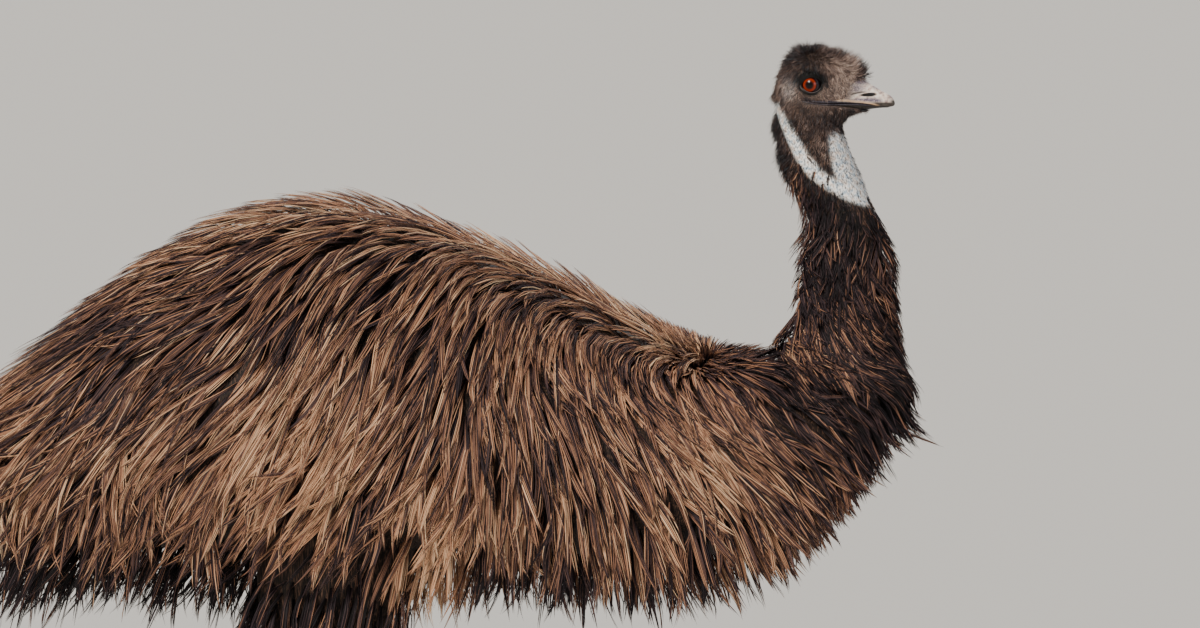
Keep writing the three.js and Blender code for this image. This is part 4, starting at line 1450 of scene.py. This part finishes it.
def grow_head(name, first, last, spacing):
    """Bristles between two lengths along the head and neck, gathered in small clumps."""
    roots, unwrap = scatter(first, last, spacing, head_density)
    places, normals, _ = nearest_on(skin_tree, roots)
    field = face_fields(places)
    n = len(places)
    number, _, groups = clumps(places, normals, 7.0)
    heading = np.stack([field[:, 0], 0 * field[:, 0], field[:, 1]], -1)
    heading += chance.normal(0, 0.18, (groups, 3))[number] + chance.normal(0, 0.11, (n, 3))
    along = unit(flattened(heading, normals), 0.25)
    lift = field[:, 2] + chance.normal(0, 7, groups)[number] + chance.normal(0, 6, n)
    lift = np.radians(np.clip(lift, 4, 85))
    aim = along * np.cos(lift)[:, None] + normals * np.sin(lift)[:, None]
    nape = hill(places[:, 1], 11) * step_up(486 - places[:, 0], 0, 10) * step_up(1250 - places[:, 2], 0, 15)
    aim += nape[:, None] * [-0.35, 0, 0]
    aim[:, 2] += 0.55 * step_up(places[:, 2], 1270, 1286) * step_up(550 - places[:, 0], 0, 25)
    size = field[:, 3] * np.clip(chance.normal(1.0, 0.2, n), 0.5, 1.7)
    bare = bare_share(places)
    size = size * (1 - 0.3 * bare)
    crest = hill(places[:, 1], 9) * step_up(places[:, 0], 524, 542) * step_up(places[:, 2], 1245, 1252)
    aim += crest[:, None] * [0.2, 0, 1.0]
    inward = np.clip((lift - 0.35) * 3, -0.2, 1) - 1.5 * crest
    aside = np.cross(along, normals) * chance.normal(0, 0.5, (n, 1))
    bend = -normals * inward[:, None] + 0.3 * along * (1 - 2 * crest[:, None]) + aside
    tuft = through([520, 545, 560, 576], [15, 21, 26, 21])(places[:, 0])
    size = size + crest * (tuft * chance.uniform(0.6, 1.0, n) - size) + 6 * nape * chance.random(n)
    girth = np.stack([5 + 0.33 * size, 5 + 0.33 * size, size], -1)
    ear = hill(np.hypot(places[:, 0] - 487.5, (places[:, 2] - 1242) / 1.6), 9)
    vary = chance.normal(0, 0.13, groups)[number] + chance.normal(0, 0.17, n)
    tone = field[:, 4] * 1.35 + vary * np.clip(0.45 + field[:, 4], 0.5, 1)
    dx, dz = in_face(places)
    brow = hill(dz - 15.5 + 0.026 * dx**2, 4.5) * (np.abs(dx) < 21) * (np.abs(places[:, 1]) > 12)
    tone = tone - 0.5 * brow - crest * (0.15 + 0.35 * step_up(places[:, 0], 556, 568))
    tone = np.where(bare > 0.5, tone * 0.35, tone)
    cold = np.clip(0.35 * ear + chance.normal(0, 0.08, n), 0, 0.9)
    return grow_bristles(name, places - 0.7 * normals, aim, bend, girth, unwrap,
                         {"tone": np.clip(tone, 0, 1), "cold": cold}, hair)


hair_pieces = [
    grow_head("bristles_face", 40.0, RING_AT[11], 1.1),
    grow_head("bristles_cheek", RING_AT[11], RING_AT[17], 1.2),
    grow_head("bristles_nape", RING_AT[17], RING_AT[21], 1.6),
]
for made in hair_pieces:
    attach(made, "root")
bpy.data.objects.remove(blade)

# %% [markdown]
# ## Thigh plumes, scutes and claws
# The drumsticks wear short brown plumes that end at the ankle joint. Below it the leg is bare:
# small round scales all over and a row of broad plates down the front, each lapping over the
# next. The three claws are blunt cones that touch the ground.

# %% Thigh plumes
def leg_tree(side):
    """A search tree over the drumstick, above the ankle joint."""
    rings = leg_rings(side)
    return tree_of(rings[rings[:, 0, 2] > 440])


def scatter_thigh(side, spacing=17.5, low=462.0, high=640.0, count=12000):
    """Roots over one thigh, with their place on its unwrap."""
    z = low + (high - low) * chance.random(count) ** 0.8
    turn = chance.random(count) * 2 * math.pi
    c, s = bulged(turn, 2.0)
    points = np.stack([
        FLESH_X(z) + stand_at(side, z) + FLESH_DEPTH(z) * c,
        side * FOOT_Y + side * 8 * step_up(z, 452, 600) + FLESH_WIDTH(z) * s,
        z,
    ], -1)
    kept = spaced(points, spacing)
    unwrap = np.stack([
        turn[kept] / (2 * math.pi) * 0.49 + (0 if side < 0 else 0.5), (z[kept] - low) / (high - low)
    ], -1)
    return points[kept], unwrap


def thigh_near(points):
    """As skin_near, for the thighs: their coat reaches out level to the solids of the thighs."""
    places, normals = np.empty_like(points), np.empty_like(points)
    for i, point in enumerate(points):
        tree = leg_trees[1 if point[1] > 0 else -1]
        places[i], normals[i], _, _ = tree.find_nearest(Vector(point))
    depth = np.empty(len(points))
    for i, (place, normal) in enumerate(zip(places, normals)):
        level = normal * [1, 1, 0.2]
        hit = thigh_outline.ray_cast(Vector(place), Vector(level))
        depth[i] = hit[3] if hit[0] is not None else 8.0
    return places, normals, np.clip(depth - 2, 5, 42)


def thigh_lie(points, normals, turn):
    """Down the leg, swept a little back, and never off its surface."""
    angle = np.radians(12 + turn)
    flat = np.stack([-np.sin(angle), 0 * angle, -np.cos(angle)], -1)
    return unit(flattened(flat, normals), 1e-6)


thigh_outline = outline_tree(["thigh_left", "thigh_right"])
leg_trees = {side: leg_tree(side) for side in (1, -1)}
points, unwrap = (np.concatenate(pair) for pair in zip(*[scatter_thigh(side) for side in (1, -1)]))
z = points[:, 2]
plume_piece(
    "plumage_thighs", points, unwrap, through([455, 500, 600, 700], [34, 60, 96, 110])(z),
    through([455, 520, 650], [5.0, 6.0, 7.0])(z), 5, 0.0, wild=1.2, fine=0.7,
    near=thigh_near, lie=thigh_lie, dry_end=False,
)

# %% Scutes
def scute_plate():
    """A plate with its middle at the origin: Z points out, X down the leg, Y around it."""
    u = np.linspace(-1, 1, 15)[:, None]
    v = np.linspace(-1, 1, 9)[None, :]
    turn = u * 1.05
    shin, inner = 0.52, 0.45  # radii of the shin and of the plate's underside, as shares of its width
    edge = np.clip(1 - np.abs(u) ** 6, 0, 1) * np.clip(1 - np.abs(v) ** 6, 0, 1)
    high = 0.020 + 0.05 * edge ** 0.4 + 0.035 * v * edge
    radius = shin + high
    top = np.stack([
        0.165 * v + 0.03 * (1 - u**2) * (v > 0) * v, radius * np.sin(turn),
        radius * np.cos(turn) - shin,
    ], -1)
    base = np.stack([
        0.16 * v + 0 * u, inner * np.sin(turn) + 0 * v, inner * np.cos(turn) - shin + 0 * v
    ], -1)
    shape = top.shape[:2]
    at = np.arange(shape[0] * shape[1]).reshape(shape)
    low = at + at.size
    upper, lower = [
        np.stack([a[:-1, :-1], a[1:, :-1], a[1:, 1:], a[:-1, 1:]], -1).reshape(-1, 4) for a in (at, low)
    ]
    rim = np.concatenate([at[0, :-1], at[:-1, -1], at[-1, :0:-1], at[:0:-1, 0]])
    beneath = rim + at.size
    sides = np.stack([np.roll(rim, -1), rim, beneath, np.roll(beneath, -1)], -1)
    points = np.concatenate([top.reshape(-1, 3), base.reshape(-1, 3)])
    made = mesh_object("scute", points, [upper[:, ::-1], lower, sides])
    if signed_volume(made) < 0:
        made.data.flip_normals()
    uv = np.stack([((u + 1) / 2 + 0 * v).ravel(), ((v + 1) / 2 + 0 * u).ravel()], -1)
    corner_map(made, "strand", np.concatenate([uv, uv]))
    return made


def signed_volume(made):
    """The volume a mesh encloses, negative where it is inside out."""
    spots = places_of(made)
    total = 0.0
    for face in made.data.polygons:
        corner = spots[list(face.vertices)]
        for i in range(1, len(corner) - 1):
            total += np.dot(corner[0], np.cross(corner[i], corner[i + 1])) / 6
    return total


# Scute keratin: grey brown and waxy.
plate, tree, shader, place = finish_of("scute_keratin", 0.42, Specular_IOR_Level=0.4)
spots = noise(tree, (place, "Object"), 260.0, 4.0)
paint(tree, shader, ramp(tree, spots, [(0.3, "#1e1814"), (0.5, "#3b3129"), (0.7, "#5a4c3e")]))
bump(tree, shader, noise(tree, (place, "Object"), 900.0, 3.0), 0.2)

SCUTE_PITCH = 8.6
blade = scute_plate()
heights = np.arange(66.0, 350.0, SCUTE_PITCH)
roots, aims, downs, sizes, seats = [], [], [], [], []
for side in (1, -1):
    for i, z in enumerate(heights):
        front = FLESH_X(z) + stand_at(side, z) + FLESH_DEPTH(z)
        slope = (FLESH_X(z - 2) + stand_at(side, z - 2) + FLESH_DEPTH(z - 2) - front) / 2
        roots.append((front - 0.6, side * FOOT_Y, z))
        aims.append((1.0, 0.0, float(slope)))
        downs.append((float(slope), 0.0, -1.0))
        taper = 0.55 + 0.45 * step_up(z, 62, 92) * (1 - step_up(z, 322, 352))
        sizes.append(FLESH_WIDTH(z) * 1.9 * taper * np.ones(3))
        seats.append((0.25 + 0.5 * (side > 0), i / len(heights)))
scutes = grow_bristles(
    "scutes", np.array(roots, float), np.array(aims, float), np.array(downs, float),
    np.array(sizes, float), np.array(seats, float), {}, plate,
)
bpy.data.objects.remove(blade)
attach(scutes, "root")


# %% Claws
CLAW_HIDDEN, CLAW_SPARE = 9, 5  # mm inside the toe, and past the claw's nominal reach


def claw(side, turn, length, reach, girth):
    """A blunt, slightly hooked cone from inside the toe's end down to the ground."""
    t = np.linspace(0, 1, 34)[:, None]
    angle = turns_of(40)[None, :]
    c, s = bulged(angle, 2.1)
    start = TOE_START + TOE_HIDDEN + length - CLAW_HIDDEN
    along = start + t * (reach + CLAW_HIDDEN + CLAW_SPARE)
    radius = girth * 0.50 * np.sqrt(np.clip(1 - t**2.3, 0.0004, 1))
    middle = girth * 0.60 * (1 - t**1.7) + 1.1
    heading = math.radians(-side * turn)
    ahead = np.array([math.cos(heading), math.sin(heading)])
    foot_x = ANKLE_X + stand_at(side, 0)
    x = foot_x + ahead[0] * along - ahead[1] * radius * 0.92 * c
    y = side * FOOT_Y + ahead[1] * along + ahead[0] * radius * 0.92 * c
    z = np.maximum(middle + radius * (1.05 * s + 0.12 * step_up(s, 0.6, 1)), 0.0)
    made = closed_loft(np.stack([x, y, z + 0 * x], -1), f"claw_{side}_{turn}")
    column = CLAW_ORDER[(side, turn)] / 6
    spot = np.concatenate([np.stack([
        np.broadcast_to(angle / (2 * math.pi), x.shape).ravel() / 6.2 + column,
        np.broadcast_to(t, x.shape).ravel(),
    ], -1), [[column + 0.08, 0.0], [column + 0.08, 1.0]]])
    corner_map(made, "OFBake", spot)
    return made


CLAW_ORDER = {(side, toe[1]): 3 * (side > 0) + i for side in (1, -1) for i, toe in enumerate(TOES)}
claws = joined("claws", [
    claw(side, turn, length, reach, girth)
    for side in (1, -1) for name, turn, length, reach, girth in TOES
])
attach(claws, "root")
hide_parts(*[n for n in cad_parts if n.startswith("claw")])
# Claw horn: black brown, worn paler towards the tip, with lengthwise scratches.
nail, tree, shader, place = finish_of("claw_horn", 0.35, Specular_IOR_Level=0.5)
seat = node(tree, "ShaderNodeUVMap", {"uv_map": "OFBake"})
split = node(tree, "ShaderNodeSeparateXYZ", Vector=(seat, "UV"))
paint(tree, shader, ramp(tree, (split, "Y"), [(0.25, "#171210"), (0.7, "#2f2722"), (1.0, "#6a5d50")]))
bump(tree, shader, noise(tree, (seat, "UV"), 1.0, 2.0, (240.0, 6.0, 1.0)), 0.15)
claws.data.materials.append(nail)
print("claws:", len(claws.data.polygons), "faces")

# %% Plume material
# Emu plumes are matte keratin barbs: slate at the base, in a streaked tan above, a little darker
# again at the very tip. Each strand is painted darker on one side and lighter on the other, as
# painted shade and a painted highlight across its width.
barbs, tree, shader, place = finish_of("keratin_barbs", 0.6, Specular_IOR_Level=0.22)
grain = node(tree, "ShaderNodeUVMap", {"uv_map": "strand"})
split = node(tree, "ShaderNodeSeparateXYZ", Vector=(grain, "UV"))
growth = ranged(tree, (split, "Y"), 0.05, 0.5, -0.22, 0.0)
tip = ranged(tree, (split, "Y"), 0.86, 1.0, 0.0, -0.14)
streak = noise(tree, (grain, "UV"), 1.0, 4.0, (12.0, 4.0, 1.0))
vary = ranged(tree, streak, 0.3, 0.7, -0.15, 0.15, "LINEAR")
across = node(tree, "ShaderNodeMath", {"operation": "FRACT"}, _0=(split, "X"))
# Painted shade and painted highlight: one side of each strand darker, the other lighter.
edge = ranged(tree, (across, "Value"), 0.4, 0.62, 0.09, -0.17)
shade = summed(tree, attribute(tree, "tone"), growth, tip, vary, edge)
paint(tree, shader, ramp(tree, shade, [
    (0.0, "#0b0809"), (0.20, "#20191d"), (0.36, "#3f3238"), (0.50, "#60463f"),
    (0.66, "#956950"), (0.84, "#cb9672"), (1.0, "#f2d2ab"),
]))
for made in plumage.values():
    made.data.materials.append(barbs)
    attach(made, "root")

# %% [markdown]
# ## What the skin looks like
# Most of the skin is hardly seen, and under the coat it is painted near black, as painted shade
# in the gaps between the plumes. The face is grey brown with paler pimples, the lids are black
# with a painted highlight on the lower rim, and the neck has a bare stripe that is milky blue, as
# thin skin over blood vessels and pigment is. The legs are covered in small round scales.

# %% Zones of the skin
def zone(made, name, values):
    """Marks where a colour or finish lies, from 0 to 1 at each point."""
    point_values(made.data, name, np.clip(values, 0, 1))


spots = places_of(skin)
dx, dz = in_face(spots)
away = np.hypot(dx, dz * 1.04)
on_side = np.abs(spots[:, 1]) > 12
turn = np.arctan2(dz, dx)
rim_gap = np.hypot(dx, dz) - opening(turn)
zone(skin, "bare", bare_share(spots))
in_front = hill(np.hypot((spots[:, 0] - 543) / 1.7, spots[:, 2] - 1237), 15)
zone(skin, "face", step_up(spots[:, 2], 1196, 1212) * step_up(spots[:, 0], 470, 485) * (0.3 + 0.7 * in_front))
zone(skin, "ear", 0.4 * hill(np.hypot(spots[:, 0] - 488, (spots[:, 2] - 1242) / 1.6), 8.5) * on_side)
lid_edge = 14.6 + 4.2 * step_up(np.sin(turn), 0.0, 0.8) + 2.0 * hill(np.cos(turn) ** 2 - 0.9, 0.15)
zone(skin, "lid", (1 - step_up(away, lid_edge - 2, lid_edge + 1.5)) * on_side)
# The lower lid's rim and a crescent beside the eye are painted pale grey: a painted highlight, as on a wet
# rim.
crescent = hill(turn + 2.8, 0.35) * step_up(rim_gap, 0.8, 1.4) * (1 - step_up(rim_gap, 2.0, 3.0))
lower_rim = (1 - step_up(rim_gap, 0.3, 1.0)) * step_up(-dz, 3, 6)
zone(skin, "wet_rim", np.maximum(lower_rim, 0.8 * crescent) * on_side * (away < 17))
zone(skin, "scaly", step_up(-spots[:, 2], -468, -440))
zone(skin, "gape", hill(spots[:, 2] - MOUTH_LINE(spots[:, 0]) - 0.8, 3.2) * step_up(spots[:, 0], 498, 506))


# %% Unwrap of the skin
HEAD_FROM, NECK_FROM, LEGS_BELOW = 1190, 930, 620  # heights in mm


def skin_unwrap(spots):
    """Head, neck and trunk by angle and height, with the most room for the head; legs apart."""
    x, y, z = spots.T
    left = y > 0
    spine_x = through([0, 600, 900, 940, 1050, 1200, 1300], [0, 60, 300, 545, 555, 512, 512])(z)
    around = np.arctan2(y, np.where(z > NECK_FROM, spine_x - x, z - 850)) / (2 * math.pi) + 0.5
    head_up = 0.75 + 0.22 * (z - HEAD_FROM) / 100 * np.where(left, -1, 1)
    head = np.stack([0.02 + 0.46 * (x - 465) / 155, head_up], -1)
    neck = np.stack([0.52 + 0.46 * around, 0.52 + 0.46 * (z - 900) / 300], -1)
    flank = 0.95 * (z - 640) / 440
    trunk = np.stack([0.02 + 0.94 * (x + 520) / 1140, 0.14 + 0.13 * np.where(left, 1 + flank, flank)], -1)
    leg_turn = np.arctan2(np.abs(y) - FOOT_Y, x - FLESH_X(z) - stand_at(np.sign(y), z)) / (2 * math.pi) + 0.5
    leg = np.stack([0.02 + 0.22 * leg_turn + np.where(left, 0.24, 0), 0.42 + 0.1 * z / 600], -1)
    where = np.select([z > HEAD_FROM, (z > NECK_FROM) & (x > 440), z < LEGS_BELOW], [0, 1, 2], 3)
    return np.choose(where[:, None], [head, neck, leg, trunk])


corner_map(skin, "OFBake", skin_unwrap(spots))

# %% Skin material
# Thin bird skin: matt and slightly greasy, wrinkled on lids and neck, horny scales on the leg.
# Under the coat it is covered in down, drawn out along the plumes and painted near black as painted shade in
# the gaps between them.
hide, tree, shader, place = finish_of("bird_skin", 0.6, Specular_IOR_Level=0.2)


def mottle(scale_mm, detail=3.0, stretch=(1, 1, 1)):
    """Soft noise with spots of about a given size in mm."""
    return noise(tree, (place, "Object"), 1000 / scale_mm, detail, stretch)


def layered(colour, layers):
    """Lays colours over a first one, each where the zone of its name is 1."""
    for name, above in layers.items():
        colour = mixed(tree, attribute(tree, name), colour, above)
    return colour


FACE_STOPS = [(0.36, "#3f3433"), (0.5, "#61534c"), (0.62, "#817064"), (0.72, "#ad9888")]


SCALE_MM = 3.1  # breadth of the leg's small scales
fine, coarse = mottle(1.1), mottle(6.0, 4.0)
veins = mottle(1.7, 5.0, (1.0, 1.0, 0.55))
down = mottle(1.5, 4.0, (1.0, 1.0, 0.1))
# Painted shade: the down under the coat is near black, so gaps between plumes read as deep shade.
base = ramp(tree, down, [(0.38, "#0b0807"), (0.52, "#241913"), (0.68, "#5a4235")])
blue = ramp(tree, veins, [(0.29, "#3b3634"), (0.37, "#8a8989"), (0.45, "#d3d8d9"), (0.56, "#fbfaf6")])
pink = ramp(tree, coarse, [(0.36, "#b9c9d8"), (0.48, "#ffffff"), (0.64, "#ead8cd")])
cells = node(tree, "ShaderNodeTexVoronoi", {"feature": "DISTANCE_TO_EDGE"}, Vector=(place, "Object"),
             Scale=1000 / SCALE_MM, Randomness=0.75)
paint(tree, shader, layered(base, {
    "face": ramp(tree, fine, FACE_STOPS),
    "ear": ramp(tree, fine, [(0.35, "#4c4a4b"), (0.65, "#9da3a6")]),
    "bare": mixed(tree, 1.0, blue, pink, "MULTIPLY"),
    "lid": ramp(tree, fine, [(0.35, "#020202"), (0.6, "#090707"), (0.75, "#1f1a16")]),
    "wet_rim": tint("#554d4c"),
    "gape": tint("#2b2429"),
    "scaly": ramp(tree, (cells, "Distance"), [(0.0, "#1b1715"), (0.08, "#3d352f"), (0.4, "#5d534a")]),
}))
domed = ranged(tree, (cells, "Distance"), 0.0, 0.3, 0.0, 2.0)
height = node(tree, "ShaderNodeMix", {"data_type": "FLOAT"}, Factor=attribute(tree, "scaly"),
              _2=fine, _3=domed)
bump(tree, shader, (height, 0), 0.45)
skin.data.materials.clear()
skin.data.materials.append(hide)
skin.data.update()

# %% Horn of the bill
# Weathered horn: pinkish beige, slate on the base of the keel, stained olive brown at the edge
# of the hook and below the mouth, and painted near black there as painted shade. It is smoother
# than skin and shines softly.
spots = places_of(bill)
x, z = spots[:, 0], spots[:, 2]
over_mouth = z - MOUTH_LINE(x)
streak_z = through([556, 575, 590, 602], [1227.2, 1227.4, 1226.6, 1225.6])(x)
streak_half = through([556, 575, 590, 602], [1.2, 1.9, 3.2, 2.4])(x)
zone(bill, "slate", np.maximum.reduce([
    1.00 * hill(np.hypot((x - 573) / 13, (z - 1249) / 5), 1.0),
    0.90 * hill(np.hypot((x - 568) / 13, (z - 1241) / 7), 1.0),
    0.70 * hill(np.hypot((x - 593) / 6, (z - 1242) / 2.5), 1.0),
    0.95 * hill((z - streak_z) / streak_half, 1.0) * step_up(x, 556, 566) * (1 - step_up(x, 596, 606)),
    0.40 * hill(np.hypot((x - 611) / 5, (z - 1231) / 4), 1.0),
]))
slate_top = through([500, 535, 550, 575, 590], [6.0, 4.6, 3.0, 1.2, 0.4])(x)
zone(bill, "gape", (1 - step_up(over_mouth - slate_top, -0.9, 0.9)) * step_up(over_mouth, -2.4, -1.2)
     * (1 - step_up(x, 580, 594)))
edge = hill(over_mouth - slate_top - 0.9, 1.2) * step_up(x, 540, 552)
zone(bill, "edge", edge * (1 - step_up(x, 590, 600)))
# The lower plate and the hook's underside: olive brown horn, painted near black as painted shade.
zone(bill, "olive", np.maximum.reduce([
    1.0 * (over_mouth < -0.4),
    0.95 * (1 - step_up(z, 1222.6, 1225.4)) * step_up(x, 580, 594),
    0.95 * step_up(x, 608, 614) * (1 - step_up(z, 1224.5, 1229)),
]))
# The groove behind the nostril's lid is painted near black: painted shade in the groove.
fold = 0.95 * hill(z - FOLD_Z(x), 1.0) * step_up(x, 561, 565) * (1 - step_up(x, 576, 584))
zone(bill, "fold", fold * (over_mouth > 4))
zone(bill, "lore", (1 - step_up(x - 0.25 * (z - 1236), 558, 577)) * step_up(over_mouth, 2.0, 6.0))
zone(bill, "slit_gap", np.where(over_mouth > 4, nostril(x, z), 4.0) / 4)
horn, tree, shader, place = finish_of("bill_horn", 0.38, Specular_IOR_Level=0.45)
fine, coarse = mottle(1.3), mottle(4.5, 4.0)
base = ramp(tree, coarse, [(0.32, "#9b8583"), (0.44, "#d6c0b0"), (0.64, "#f6e9dc")])
colour = layered(base, {
    "slate": ramp(tree, fine, [(0.38, "#2c283b"), (0.5, "#4c475e"), (0.58, "#7a7180"), (0.67, "#c4b3ad")]),
    "lore": ramp(tree, fine, FACE_STOPS),
    "olive": ramp(tree, fine, [(0.38, "#080505"), (0.5, "#1b130e"), (0.62, "#30271c"), (0.74, "#544a3a")]),
    "edge": tint("#c8a581"),
    "gape": ramp(tree, fine, [(0.35, "#17131a"), (0.6, "#3c3641"), (0.72, "#6b6067")]),
    "fold": tint("#160f0e"),
})
# The nostril's slit is painted near black: painted shade inside the hole.
slit = ranged(tree, attribute(tree, "slit_gap"), 0.2, 0.28, 1.0, 0.0)
paint(tree, shader, mixed(tree, slit, colour, tint("#0a0505")))
bump(tree, shader, fine, 0.12)
bill.data.materials.append(horn)

# %% Eye material
# A wet eye: a sharp highlight on a clear surface over an orange-red iris with fine spokes.
wet, tree, shader, place = finish_of("wet_eye", 0.3, Specular_IOR_Level=0.1, Coat_Weight=0.6,
                                     Coat_Roughness=0.03, Coat_IOR=1.35)
pupil = tuple((EYE - [EYE_RADIUS * math.sin(GAZE), 0, 0]) * [1, 0, 1] * MM)
flat = vector_step(tree, "SUBTRACT", (place, "Object"), _1=pupil)
flat = vector_step(tree, "MULTIPLY", flat, _1=(1, 0, 1))
radius = vector_step(tree, "LENGTH", flat)[0], "Value"
rays = noise(tree, vector_step(tree, "NORMALIZE", flat), 9.0, 4.0)
wobble = ranged(tree, rays, 0.3, 0.7, -0.12 * MM, 0.12 * MM, "LINEAR")
share = node(tree, "ShaderNodeMath", {"operation": "MULTIPLY"}, _0=summed(tree, radius, wobble),
             _1=1 / (EYE_RADIUS * MM))
iris = ramp(tree, (share, "Value"), [
    (0.0, "#020101"), (0.22, "#040202"), (0.29, "#240803"), (0.37, "#641904"), (0.48, "#8c2806"),
    (0.55, "#541203"), (0.59, "#100504"), (0.62, "#0a0707"), (0.70, "#2c222a"), (0.76, "#110c0e"),
])
paint(tree, shader, iris)
eyes.data.materials.append(wet)

# %% Join the pieces to the body
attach(skin, "root")
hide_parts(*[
    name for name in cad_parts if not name.startswith(("claw", "eye", "bill"))
])
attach(eyes, "root")
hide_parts("eye_left", "eye_right")
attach(bill, "root")
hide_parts("bill_upper", "bill_lower")
